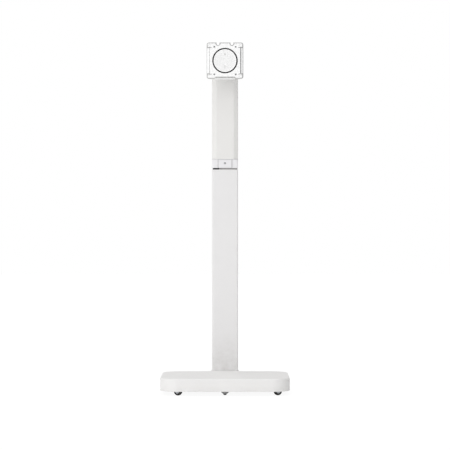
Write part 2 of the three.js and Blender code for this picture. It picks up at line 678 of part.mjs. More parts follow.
// ---------- mounting plate ----------
function addMountingPlate() {
  const half = PLATE / 2;
  const back = PLATE_FRONT + 8;
  const wall = 2.5;
  const holePitch = 100;
  const bottom = HEAD_Z - half;
  const gripLevels = [HEAD_Z - 44, HEAD_Z + 44];
  // drawn too deep, then cut off, so that only the front edge is rounded
  const blank = prismY(roundRect(PLATE, PLATE, 8, 0, HEAD_Z), [PLATE_FRONT, back + 4],
    { bevel: 4, steps: 4 });
  let plate = meet(blank,
    box([-70, 70], [PLATE_FRONT - 1, back], [HEAD_Z - 70, HEAD_Z + 70]));

  // tray opened from the back: narrow between the side grips, wider at top and bottom
  const inside = PLATE - 2 * wall;
  for (const [width, height, dz] of [[97, inside, 0], [inside, 11, 52], [inside, 11, -52]]) {
    const pocket = roundRect(width, height, 3, 0, HEAD_Z + dz);
    plate = cut(plate, prismY(pocket, [PLATE_FRONT + wall, back + 2], { curve: 3 }));
  }

  // rounded side grips, set off by a groove; x, y behind the plate's front
  const gripCut = [[51.4, 0.3], [52.6, 0.7], [58.6, 5], [60.4, 8.4], [62, 8.4], [62, -2], [51.4, -2]];
  for (const side of SIDES) {
    const waste = polygon(gripCut.map(([x, depth]) => [side * x, PLATE_FRONT + depth]));
    const groove = rangeOn(side, 50.3, 52);
    plate = cut(
      plate,
      prismZ(waste, gripLevels),
      box(groove, [PLATE_FRONT - 1, PLATE_FRONT + 1.8], gripLevels),
    );
  }

  // two round-bottomed notches in the top edge, 10.5 deep, and a wide one in the bottom edge
  for (const x of [-22.8, 22.8]) {
    const notch = roundRect(14, 40, [6.5, 6.5, 1, 1], x, HEAD_Z + half + 20 - 10.5);
    plate = cut(plate, prismY(notch, THROUGH));
  }
  const latchNotch = polygon([
    [-35, bottom - 1], [35, bottom - 1], [33, bottom + 6.5], [-33, bottom + 6.5],
  ]);
  plate = cut(plate, prismY(latchNotch, THROUGH), cylY(41.6, THROUGH, 0, HEAD_Z, 48));

  // countersunk screw holes, and the display's mounting holes in the corners
  for (const [x, z] of PLATE_SCREWS) {
    plate = cut(plate, cylY(2.8, [60, 73.3], x, z, 14), cylY(2.1, THROUGH, x, z, 12));
  }
  for (const x of about(0, holePitch)) {
    for (const z of about(HEAD_Z, holePitch)) plate = cut(plate, cylY(2.5, THROUGH, x, z, 14));
  }
  put("mounting_plate", plate, "plate");
}

function addRotorFlange() {
  let rotor = prismY(roundRect(86, 100, 6, 0, HEAD_Z), [75.65, 79.3], { curve: 3 });
  for (const [x, z] of PLATE_SCREWS) rotor = join(rotor, cylY(4.4, [74.85, 76], x, z, 14));
  // upper seats of the latch springs
  for (const side of SIDES) {
    rotor = join(rotor, box(rangeOn(side, 27, 35), [78, 85.5], [HEAD_Z - 27, HEAD_Z - 24]));
  }
  rotor = cut(rotor, cylY(ROTOR_BORE_R, THROUGH, 0, HEAD_Z, 32));
  for (const [x, z] of PLATE_SCREWS) rotor = cut(rotor, cylY(2.1, THROUGH, x, z, 12));
  put("rotor_flange", rotor, "steel");
}

function addPlateScrew(name, x, z) {
  const screw = join(cylY(2.45, [72.15, 73], x, z, 14), cylY(1.75, [72.9, 79], x, z, 12));
  put(name, cut(screw, cylY(1.2, [70, 72.7], x, z, 6)), "ring");
}

// ---------- release latch ----------
function addReleaseLatch() {
  const latch = join(
    prismY(roundRect(64, 16, 3, 0, HEAD_Z - 49), [79.7, 82.2], { curve: 3 }),
    prismX(roundRect(7.4, 7.1, 1.5, 78.5, HEAD_Z - 57.95), [-32.4, 32.4], { curve: 3 }),
    // lower seats of the springs
    ...SIDES.map((side) => box(rangeOn(side, 25, 34), [80, 85.5], [HEAD_Z - 44, HEAD_Z - 41])),
  );
  put("release_latch", latch, "plate");
}

// Helix about a vertical line.
class Coil extends THREE.Curve {
  constructor(size) {
    super();
    Object.assign(this, size);
  }
  getPoint(t, out = new THREE.Vector3()) {
    const { x, y, bottom, top, radius, turns } = this;
    const angle = 2 * Math.PI * turns * t;
    const z = bottom + (top - bottom) * t;
    return out.set(x + radius * Math.cos(angle), y + radius * Math.sin(angle), z);
  }
}

function addLatchSpring(name, x) {
  const levels = { bottom: HEAD_Z - 40.2, top: HEAD_Z - 27.8 };
  const spring = new THREE.ExtrudeGeometry(roundRect(0.8, 0.8, 0.3), {
    steps: 44,
    curveSegments: 2,
    bevelEnabled: false,
    extrudePath: new Coil({ x, y: 82.6, ...levels, radius: 2, turns: 5 }),
  });
  put(name, solid(spring), "zinc");
}

// ---------- assembly ----------
addBaseCover();
addChassis();
addBallast();
addColumnFoot();
addFootBolt("foot_bolt_left", -FOOT_BOLT_X);
addFootBolt("foot_bolt_right", FOOT_BOLT_X);
addColumnTube();
addColumnRearCover();
addSpringAnchor();
addGasSpringRod();
addGuideBush();
addCollar();
addTensionScrew();
addHeightLock();
for (const caster of CASTERS) addCaster(...caster);
addGlideFoot();
addMast();
addGasSpring();
addHeadBracket();
addSleeve();
addSwivelYoke();
addTiltKnuckle();
addHub();
addMountingPlate();
addRotorFlange();
PLATE_SCREWS.forEach(([x, z], i) => addPlateScrew(`plate_screw_${i + 1}`, x, z));
addReleaseLatch();
addLatchSpring("latch_spring_left", -31);
addLatchSpring("latch_spring_right", 31);

export default stand;
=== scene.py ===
"""A rolling stand: a flat base on casters, a column with a gas-sprung mast, and a mounting head.

The floor is z = 0 and +Z is up. The stand faces -Y, its left is -X, and x = 0 is its middle.
Shapes are worked out in millimetres and turned into metres when a mesh is made.
Shader lengths, the floor, the lights and the camera are in metres.
"""
import json
import math

import bmesh
import bpy
from mathutils import Matrix, Vector
from mathutils.geometry import tessellate_polygon


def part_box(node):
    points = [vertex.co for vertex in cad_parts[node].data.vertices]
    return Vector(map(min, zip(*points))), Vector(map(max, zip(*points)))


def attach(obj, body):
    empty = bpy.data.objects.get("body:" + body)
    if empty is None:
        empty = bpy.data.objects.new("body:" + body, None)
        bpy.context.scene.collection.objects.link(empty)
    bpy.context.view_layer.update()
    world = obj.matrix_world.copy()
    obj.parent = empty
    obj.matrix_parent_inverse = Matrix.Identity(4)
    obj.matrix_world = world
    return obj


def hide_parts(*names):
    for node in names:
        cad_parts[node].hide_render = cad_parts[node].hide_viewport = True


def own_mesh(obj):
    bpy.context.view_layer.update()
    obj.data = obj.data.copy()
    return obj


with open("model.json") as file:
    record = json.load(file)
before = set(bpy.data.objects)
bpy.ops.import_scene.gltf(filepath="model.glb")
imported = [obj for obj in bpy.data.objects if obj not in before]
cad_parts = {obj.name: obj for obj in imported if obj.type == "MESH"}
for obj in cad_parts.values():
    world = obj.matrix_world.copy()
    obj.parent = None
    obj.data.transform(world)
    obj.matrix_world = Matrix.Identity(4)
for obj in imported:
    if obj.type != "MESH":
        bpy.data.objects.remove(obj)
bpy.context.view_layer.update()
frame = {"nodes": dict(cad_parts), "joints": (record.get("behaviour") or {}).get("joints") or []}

TAU = 2 * math.pi
MM = 0.001  # metres in a millimetre
SCENE = bpy.context.scene
JOINTS = {joint["name"]: joint for joint in frame["joints"]}


class Box:
    """The bounds of a CAD node, in millimetres."""

    def __init__(self, node):
        low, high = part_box(node)
        self.x0, self.y0, self.z0 = (c * 1000 for c in low)
        self.x1, self.y1, self.z1 = (c * 1000 for c in high)
        self.cx, self.cy, self.cz = ((self.x0 + self.x1) / 2, (self.y0 + self.y1) / 2,
                                     (self.z0 + self.z1) / 2)
        self.w, self.d, self.h = self.x1 - self.x0, self.y1 - self.y0, self.z1 - self.z0


def joint_mm(name):
    return Vector([c * 1000 for c in JOINTS[name]["pos_m"]])


# Places shared by several pieces
COVER = Box("base_cover")
COLUMN = Box("column_tube")
COLLAR = Box("collar")
INSERT = Box("collar_front_insert")
SLEEVE_FRONT = Box("sleeve_front")
SLEEVE_REAR = Box("sleeve_rear")
LINING = Box("friction_ring")
PLATE = Box("mounting_plate")
PLATE_HOLES = (35, 45)  # x and z of the plate's screws from the head's centre
MAST_Y = 157.0  # the upright line of the mast and the gas spring
CHASSIS_Z0, CHASSIS_Z1 = 38.0, 43.0
SWIVEL_Y = joint_mm("head_swivel").y
TILT_Y = joint_mm("head_tilt").y
HEAD_Z = joint_mm("head_tilt").z


# ------------------------------------------------------------------ flat outlines
def arc(cx, cy, radius, start, end, n):
    """n + 1 points along an arc, its angles in degrees."""
    angles = [math.radians(start + (end - start) * i / n) for i in range(n + 1)]
    return [(cx + radius * math.cos(a), cy + radius * math.sin(a)) for a in angles]


def circle(cx, cy, radius, n):
    angles = [TAU * i / n for i in range(n)]
    return [(cx + radius * math.cos(a), cy + radius * math.sin(a)) for a in angles]


def rounded_rect(width, height, radius, cx, cy, n):
    x0, x1 = cx - width / 2 + radius, cx + width / 2 - radius
    y0, y1 = cy - height / 2 + radius, cy + height / 2 - radius
    return (arc(x0, y0, radius, 180, 270, n) + arc(x1, y0, radius, 270, 360, n)
            + arc(x1, y1, radius, 0, 90, n) + arc(x0, y1, radius, 90, 180, n))


def rounded(points, n=5, closed=True):
    """Rounds each corner (x, y, radius) with an arc; a corner (x, y) stays sharp."""
    def share(point):
        """How much of a side an arc may take, given the corner at its other end."""
        return 0.49 if len(point) > 2 and point[2] else 0.98

    out, count = [], len(points)
    for i, point in enumerate(points):
        radius = point[2] if len(point) > 2 else 0
        if radius <= 0 or (not closed and i in (0, count - 1)):
            out.append((point[0], point[1]))
            continue
        before, after = points[i - 1], points[(i + 1) % count]
        a, b, c = Vector(before[:2]), Vector(point[:2]), Vector(after[:2])
        u, v = (a - b).normalized(), (c - b).normalized()
        half = math.acos(max(-1, min(1, u.dot(v)))) / 2
        if half < 1e-4 or abs(half - math.pi / 2) < 1e-4:
            out.append((b.x, b.y))
            continue
        run = min(radius / math.tan(half), share(before) * (a - b).length,
                  share(after) * (c - b).length)
        fitted = run * math.tan(half)
        centre = b + (u + v).normalized() * (fitted / math.sin(half))
        first, last = b + u * run, b + v * run
        start = math.atan2(first.y - centre.y, first.x - centre.x)
        turned = math.atan2(last.y - centre.y, last.x - centre.x) - start
        while turned > math.pi:
            turned -= TAU
        while turned < -math.pi:
            turned += TAU
        for k in range(n + 1):
            angle = start + turned * k / n
            out.append((centre.x + fitted * math.cos(angle), centre.y + fitted * math.sin(angle)))
    clean = []
    for point in out:
        if not clean or math.dist(point, clean[-1]) > 1e-5:
            clean.append(point)
    if closed and math.dist(clean[0], clean[-1]) < 1e-5:
        clean.pop()
    return clean


def rounded_box(x0, x1, y0, y1, radius, n):
    """A rectangle given by its sides."""
    return rounded([(x0, y0, radius), (x1, y0, radius), (x1, y1, radius), (x0, y1, radius)], n)


def profile(points, n=4):
    """An open profile of (radius, position) or (radius, position, corner radius)."""
    return rounded(points, n, closed=False)


def mirrored(points, axis=0):
    """The points, then the same points backwards with one coordinate negated."""
    sx, sy = (-1, 1) if axis == 0 else (1, -1)
    return points + [(p[0] * sx, p[1] * sy, *p[2:]) for p in reversed(points)]


def ccw(outline):
    """The outline, turned to run counter-clockwise."""
    area = sum(outline[i - 1][0] * outline[i][1] - outline[i][0] * outline[i - 1][1]
               for i in range(len(outline)))
    return list(outline) if area > 0 else list(reversed(outline))


def inset(outline, distance):
    """Moves a counter-clockwise outline inwards, or outwards when distance is negative."""
    if abs(distance) < 1e-9:
        return list(outline)
    out, count = [], len(outline)
    for i in range(count):
        before, here, after = (Vector(outline[j]) for j in (i - 1, i, (i + 1) % count))
        side0, side1 = here - before, after - here
        if side0.length < 1e-9 or side1.length < 1e-9:
            out.append((here.x, here.y))
            continue
        side0.normalize()
        side1.normalize()
        normal0, normal1 = Vector((-side0.y, side0.x)), Vector((-side1.y, side1.x))
        middle = normal0 + normal1
        if middle.length < 1e-6:
            middle = normal0
        middle.normalize()
        moved = here + middle * (distance / max(0.35, middle.dot(normal0)))
        out.append((moved.x, moved.y))
    return out


def quarter(n):
    """Quarter-round steps as (falling from 1 to 0, rising from 0 to 1)."""
    angles = [math.pi / 2 * k / n for k in range(n + 1)]
    return [(1 - math.sin(a), 1 - math.cos(a)) for a in angles]


def end_stations(span, ends, n):
    """(position, inset) along a prism whose two ends are rounded by the radii in ends."""
    (low, high), (r0, r1) = span, ends
    out = [(low + r0 * rise, r0 * fall) for fall, rise in quarter(n)] if r0 > 0 else [(low, 0.0)]
    out += [(high - r1 * fall, r1 * rise) for fall, rise in quarter(n)] if r1 > 0 else [(high, 0.0)]
    return out


# ------------------------------------------------------------------ solids
def lift(point, position, axis):
    """A flat point set at a position along an axis."""
    u, v = point
    if axis == "Z":
        return (u, v, position)
    if axis == "Y":
        return (u, position, v)
    return (position, u, v)


def levels(outline, stations, axis="Z"):
    """One ring of the outline for each (position, inset)."""
    outline = ccw(outline)
    return [[lift(p, position, axis) for p in inset(outline, d)] for position, d in stations]


def circle_levels(cx, cz, stations, n):
    """Rings along Y, one for each (y, radius)."""
    return [[lift(p, y, "Y") for p in circle(cx, cz, radius, n)] for y, radius in stations]


class Solid:
    """Points and faces; each face carries a material slot."""

    def __init__(self):
        self.points, self.faces, self.slots = [], [], []

    def ring(self, points):
        start = len(self.points)
        self.points += [tuple(p) for p in points]
        return list(range(start, start + len(points)))

    def face(self, corners, slot=0):
        self.faces.append(tuple(corners))
        self.slots.append(slot)

    def strip(self, a, b, slot=0):
        for i in range(len(a)):
            j = (i + 1) % len(a)
            self.face((a[i], a[j], b[j], b[i]), slot)

    def join(self, loops, slot=0):
        for a, b in zip(loops, loops[1:]):
            self.strip(a, b, slot)

    def skin(self, rings):
        """Adds rings of points and joins each to the next."""
        loops = [self.ring(ring) for ring in rings]
        self.join(loops)
        return loops

    def cap(self, *loops, slot=0):
        """Closes a loop, or the area between a loop and the loops inside it."""
        if len(loops) == 1:
            self.face(loops[0], slot)
            return
        flat = [i for loop in loops for i in loop]
        for triangle in tessellate_polygon([[Vector(self.points[i]) for i in loop] for loop in loops]):
            self.face([flat[k] for k in triangle], slot)

    def fan(self, ring, apex):
        tip = len(self.points)
        self.points.append(tuple(apex))
        for i in range(len(ring)):
            self.face((ring[i], ring[(i + 1) % len(ring)], tip))

    def add(self, other, matrix=None):
        start = len(self.points)
        for p in other.points:
            self.points.append(tuple(matrix @ Vector(p)) if matrix is not None else p)
        for corners, slot in zip(other.faces, other.slots):
            self.face([i + start for i in corners], slot)
        return self

    def moved(self, matrix):
        return Solid().add(self, matrix)


def prism(outline, span, axis="Z", ends=(0, 0), holes=(), hole_end=0, n=3):
    """An outline drawn out along an axis; ends and hole_end are the edge radii."""
    solid = Solid()
    lows, highs = [], []
    for number, loop in enumerate([outline, *holes]):
        sign, radii = (-1, (hole_end, hole_end)) if number else (1, ends)
        stations = [(position, sign * d) for position, d in end_stations(span, radii, n)]
        loops = solid.skin(levels(loop, stations, axis))
        lows.append(loops[0])
        highs.append(loops[-1])
    solid.cap(*lows)
    solid.cap(*highs)
    return solid


def loft(rings, loop=False):
    """A skin over rings of points, either capped or closed on itself."""
    solid = Solid()
    loops = solid.skin(rings)
    if loop:
        solid.strip(loops[-1], loops[0])
    else:
        solid.cap(loops[0])
        solid.cap(loops[-1])
    return solid


def turn(points, n=48, axis="Z", at=(0, 0, 0), slots=None):
    """A turned solid from (radius, position); it ends on the axis or closes on itself."""
    solid = Solid()
    at = Vector(at)
    closed = points[0] == points[-1] and points[0][0] > 0
    rings = []
    for radius, position in points[:-1] if closed else points:
        flat = circle(0, 0, radius, n) if radius > 1e-9 else [(0, 0)]
        rings.append(solid.ring([Vector(lift(p, position, axis)) + at for p in flat]))
    pairs = list(zip(rings, rings[1:])) + ([(rings[-1], rings[0])] if closed else [])
    for k, (a, b) in enumerate(pairs):
        slot = slots[k] if slots else 0
        if len(a) > 1 and len(b) > 1:
            solid.strip(a, b, slot)
        elif len(b) > 1:
            for i in range(n):
                solid.face((a[0], b[i], b[(i + 1) % n]), slot)
        elif len(a) > 1:
            for i in range(n):
                solid.face((a[i], b[0], a[(i + 1) % n]), slot)
    return solid


def rod(radius, low, high, n, axis, at):
    """A plain cylinder."""
    return turn([(0, low), (radius, low), (radius, high), (0, high)], n, axis, at)


def wire(path, radius, n):
    """A round wire along a path, with closed ends."""
    up = Vector((0, 0, 1))
    rings = []
    for i, p in enumerate(path):
        ahead = (Vector(path[min(len(path) - 1, i + 1)]) - Vector(path[max(0, i - 1)])).normalized()
        side = ahead.cross(up)
        side.normalize()
        normal = side.cross(ahead).normalized()
        rings.append([Vector(p) + side * (radius * math.cos(TAU * k / n))
                      + normal * (radius * math.sin(TAU * k / n)) for k in range(n)])
    return loft(rings)


# ------------------------------------------------------------------ fasteners
def frame_to(at, out, spin):
    """A matrix that moves local +Z to the direction out, at a point."""
    turned = Vector((0, 0, 1)).rotation_difference(Vector(out))
    return Matrix.Translation(Vector(at)) @ turned.to_matrix().to_4x4() @ Matrix.Rotation(spin, 4, "Z")


def cross_ring(reach, arm):
    """24 points round a cross of half length reach and half arm width arm."""
    corners = [(reach, -arm), (reach, arm), (arm, arm), (arm, reach), (-arm, reach), (-arm, arm),
               (-reach, arm), (-reach, -arm), (-arm, -arm), (-arm, -reach), (arm, -reach), (arm, -arm)]
    out = []
    for i, p in enumerate(corners):
        q = corners[(i + 1) % 12]
        out += [p, ((p[0] + q[0]) / 2, (p[1] + q[1]) / 2)]
    return out


def hex_ring(flats):
    """24 points round a hexagon, given its size across the flats."""
    out = []
    for i in range(24):
        a = TAU * i / 24
        radius = (flats / 2) / math.cos((a % (math.pi / 3)) - math.pi / 6)
        out.append((radius * math.cos(a), radius * math.sin(a)))
    return out


def screw(at, out, head_r, head_h, kind, drive, deep, shank=None, spin=0.0, dome=0.35):
    """A screw whose head stands on a face at a point, looking along out.

    drive and deep size its recess, shank is (radius, length), dome the rounded share of the head.
    """
    if kind == "cross":
        mouth, floor, dip = cross_ring(drive, drive * 0.3), cross_ring(drive * 0.55, drive * 0.22), 0.35
    else:
        mouth, floor, dip = hex_ring(drive), hex_ring(drive * 0.92), 0.2
    angles = [math.atan2(y, x) for x, y in mouth]

    def disc(radius, z):
        return [(radius * math.cos(a), radius * math.sin(a), z) for a in angles]

    rings = []
    if shank:
        radius, length = shank
        rings += [disc(radius * 0.8, -length), disc(radius, -length + radius * 0.25), disc(radius, 0)]
    edge = min(0.25, head_h * 0.2)
    shoulder = head_h * (1 - dome) - edge
    rings += [disc(head_r - edge * 0.6, 0), disc(head_r, edge * 0.6), disc(head_r, shoulder)]
    for k in range(1, 6):
        a = (math.pi / 2) * k / 6
        rings.append(disc(head_r * 0.72 + head_r * 0.28 * math.cos(a),
                          shoulder + (head_h - shoulder) * math.sin(a)))
    rings.append(disc(head_r * 0.70, head_h))
    rings.append([(x * 1.06, y * 1.06, head_h) for x, y in mouth])
    rings.append([(x, y, head_h - 0.12) for x, y in mouth])
    rings.append([(x, y, head_h - deep) for x, y in floor])
    solid = Solid()
    loops = solid.skin(rings)
    solid.cap(loops[0])
    solid.fan(loops[-1], (0, 0, head_h - deep - dip))
    return solid.moved(frame_to(at, out, spin))


def hex_nut(at, out, flats, height, bore, spin=0.0):
    """A nut with chamfered corners; bore is the radius of its hole."""
    def disc(radius, z):
        return [lift(p, z, "Z") for p in circle(0, 0, radius, 24)]

    def hexagon(z, reach):
        """The hexagon, its corners held within a radius."""
        return [(x * min(1, reach / math.hypot(x, y)), y * min(1, reach / math.hypot(x, y)), z)
                for x, y in hex_ring(flats)]

    rings = [disc(bore, 0.5), disc(bore + 0.5, 0), hexagon(0, flats * 0.485),
             hexagon(0.5, flats * 0.6), hexagon(height - 0.5, flats * 0.6),
             hexagon(height, flats * 0.485), disc(bore + 0.5, height), disc(bore, height - 0.5)]
    return loft(rings, loop=True).moved(frame_to(at, out, spin))


# ------------------------------------------------------------------ objects
def make_object(name, solid, finishes, sharp):
    """A mesh object in metres; finishes is one key or a tuple of keys into MATERIALS."""
    mesh = bpy.data.meshes.new(name)
    mesh.from_pydata([(x * MM, y * MM, z * MM) for x, y, z in solid.points], [], solid.faces)
    bm = bmesh.new()
    bm.from_mesh(mesh)
    for face in bm.faces:
        face.material_index = solid.slots[face.index]
        face.smooth = True
    bmesh.ops.remove_doubles(bm, verts=bm.verts, dist=1e-6)
    bmesh.ops.dissolve_degenerate(bm, edges=bm.edges, dist=5e-7)
    bmesh.ops.recalc_face_normals(bm, faces=bm.faces)
    bm.to_mesh(mesh)
    bm.free()
    mesh.set_sharp_from_angle(angle=math.radians(sharp))
    ob = bpy.data.objects.new(name, mesh)
    for key in [finishes] if isinstance(finishes, str) else finishes:
        mesh.materials.append(MATERIALS[key])
    SCENE.collection.objects.link(ob)
    return ob


def apply_modifiers(ob):
    depsgraph = bpy.context.evaluated_depsgraph_get()
    mesh = bpy.data.meshes.new_from_object(ob.evaluated_get(depsgraph))
    ob.modifiers.clear()
    old = ob.data
    ob.data = mesh
    bpy.data.meshes.remove(old)


def boolean(ob, tools, operation):
    group = bpy.data.collections.new("cut")
    for tool in tools:
        group.objects.link(tool)
    modifier = ob.modifiers.new("boolean", "BOOLEAN")
    modifier.operation = operation
    modifier.solver = "EXACT"
    modifier.operand_type = "COLLECTION"
    modifier.collection = group
    apply_modifiers(ob)
    for tool in tools:
        bpy.data.objects.remove(tool)
    bpy.data.collections.remove(group)


def weld_and_smooth(ob):
    bm = bmesh.new()
    bm.from_mesh(ob.data)
    bmesh.ops.remove_doubles(bm, verts=bm.verts, dist=1e-6)
    for face in bm.faces:
        face.smooth = True
    bm.to_mesh(ob.data)
    bm.free()


def build_object(name, solid, finishes, sharp=35, tools=(), bevel=0.0):
    """An object, changed in turn by tools: a list of (operation, solids)."""
    ob = make_object(name, solid, finishes, sharp)
    if not tools:
        return ob
    for operation, solids in tools:
        boolean(ob, [make_object(f"{name}_tool", tool, finishes, sharp) for tool in solids], operation)
    weld_and_smooth(ob)
    if bevel > 0:
        modifier = ob.modifiers.new("edges", "BEVEL")
        modifier.width = bevel * MM
        modifier.segments = 2
        modifier.limit_method = "ANGLE"
        modifier.angle_limit = math.radians(50)
        modifier.use_clamp_overlap = True
        modifier.miter_outer = "MITER_ARC"
        apply_modifiers(ob)
        weld_and_smooth(ob)
    ob.data.set_sharp_from_angle(angle=math.radians(sharp))
    return ob


def register(ob, body, replaces=None, weighted=True):
    """Tells the frame which body carries an object and the CAD node it replaces."""
    if weighted:
        modifier = ob.modifiers.new("normals", "WEIGHTED_NORMAL")
        modifier.keep_sharp = True
        modifier.weight = 60
    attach(ob, body)
    if replaces:
        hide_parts(replaces)


def add_part(name, solid, finishes, body, replaces=None, sharp=35, tools=(), bevel=0.0):
    """Builds and registers a piece; its first finish is its first material."""
    ob = build_object(name, solid, finishes, sharp, tools, bevel)
    register(ob, body, replaces)


# ------------------------------------------------------------------ shader graphs
def srgb(code):
    channels = [int(code[i:i + 2], 16) / 255 for i in (0, 2, 4)]
    return [c / 12.92 if c <= 0.04045 else ((c + 0.055) / 1.055) ** 2.4 for c in channels] + [1.0]


class Graph:
    """Adds nodes to an emptied tree. An input may be given a value or another node's socket."""

    def __init__(self, owner):
        owner.use_nodes = True
        self.tree = owner.node_tree
        self.tree.nodes.clear()

    def node(self, kind, inputs=None, **settings):
        node = self.tree.nodes.new("ShaderNode" + kind)
        node.location = (180 * len(self.tree.nodes), 0)
        for key, value in settings.items():
            setattr(node, key, value)
        for key, value in (inputs or {}).items():
            self.put(node.inputs[key], value)
        return node

    def put(self, socket, value):
        if isinstance(value, bpy.types.NodeSocket):
            self.tree.links.new(value, socket)
        else:
            socket.default_value = value

    def noise(self, vector, scale, detail, roughness):
        node = self.node("TexNoise", {"Vector": vector, "Scale": scale, "Detail": detail,
                                      "Roughness": roughness})
        return node.outputs["Fac"]

    def ramp(self, value, from_min, from_max, to_min=0.0, to_max=1.0):
        node = self.node("MapRange", {"Value": value, "From Min": from_min, "From Max": from_max,
                                      "To Min": to_min, "To Max": to_max})
        return node.outputs["Result"]

    def mix(self, factor, a, b):
        return self.node("Mix", {0: factor, 6: a, 7: b}, data_type="RGBA", blend_type="MIX").outputs[2]

    def math(self, operation, a, b=None, clamp=False):
        inputs = {0: a} if b is None else {0: a, 1: b}
        return self.node("Math", inputs, operation=operation, use_clamp=clamp).outputs[0]

    def product(self, first, *others):
        for factor in others:
            first = self.math("MULTIPLY", first, factor)
        return first

    def xyz(self, vector):
        return self.node("SeparateXYZ", {0: vector}).outputs


def wear_and_shade_corners(graph, where, colour, edge):
    """Mixes a tone in where the surface's own shape turns a corner."""
    tone, amount, radius = edge
    bevel = graph.node("Bevel", {"Radius": radius * MM}, samples=4)
    geometry = graph.node("NewGeometry")
    dot = graph.node("VectorMath", {0: bevel.outputs[0], 1: geometry.outputs["Normal"]},
                     operation="DOT_PRODUCT")
    corner_mask = graph.ramp(dot.outputs["Value"], 0.97, 0.8)
    broken = graph.ramp(graph.noise(where, 420.0, 4.0, 0.7), 0.42, 0.62)
    factor = graph.math("MULTIPLY", graph.product(corner_mask, broken), amount, clamp=True)
    return graph.mix(factor, colour, srgb(tone))


def plate_painted_shade(graph, where, colour):
    """Painted shade on the mounting plate's walls, notches and groove floors, in metres of the plate's
    own frame.
    """
    geometry = graph.node("NewGeometry")
    local = graph.node("VectorTransform", {0: geometry.outputs["Normal"]}, vector_type="NORMAL",
                       convert_from="WORLD", convert_to="OBJECT")
    normal = graph.xyz(local.outputs[0])
    top = PLATE.z1 * MM

    # painted shade on surfaces that turn away from the front, darkest inside the two notches at the top
    turned = graph.ramp(graph.math("ABSOLUTE", normal["Y"]), 0.80, 0.72)
    notch_x0, notch_x1, notch_z = 0.0142, 0.0314, top - 0.0128
    notch_rim = 0.0083  # height above notch_z from which faces that look up keep the wall tone
    place = graph.xyz(where)
    across = graph.math("ABSOLUTE", place["X"])
    facing = graph.math("MAXIMUM", graph.math("LESS_THAN", normal["Z"], 0.4),
                        graph.math("LESS_THAN", place["Z"], notch_z + notch_rim))
    inside = graph.product(graph.math("GREATER_THAN", across, notch_x0),
                           graph.math("LESS_THAN", across, notch_x1),
                           graph.math("GREATER_THAN", place["Z"], notch_z), facing)
    colour = graph.mix(turned, colour, graph.mix(inside, srgb("c2c2c1"), srgb("555554")))

    # painted shade on the groove floors: the long grooves, and the short ones at their two ends
    groove_x0, groove_x1 = -0.0501, 0.0523
    groove_y = PLATE.y0 * MM + 0.0014  # the floors lie behind this depth
    groove_z, groove_half = top - 0.060, 0.0458
    end_from, end_x = 0.0414, 0.0588
    place = graph.xyz(where)
    height = graph.math("ABSOLUTE", graph.math("SUBTRACT", place["Z"], groove_z))
    middle = graph.product(graph.math("GREATER_THAN", place["X"], groove_x0),
                           graph.math("LESS_THAN", place["X"], groove_x1))
    across = graph.math("ABSOLUTE", place["X"])
    ends = graph.product(graph.math("GREATER_THAN", height, end_from),
                         graph.math("LESS_THAN", across, end_x))
    deep = graph.product(graph.math("MAXIMUM", middle, ends),
                         graph.math("LESS_THAN", height, groove_half),
                         graph.math("GREATER_THAN", place["Y"], groove_y),
                         graph.math("LESS_THAN", normal["Y"], -0.5))
    return graph.mix(deep, colour, graph.mix(ends, srgb("4c4c4b"), srgb("c6c6c5")))


MATERIALS, SLOTS = {}, {}
DUST = "b9b2a6"


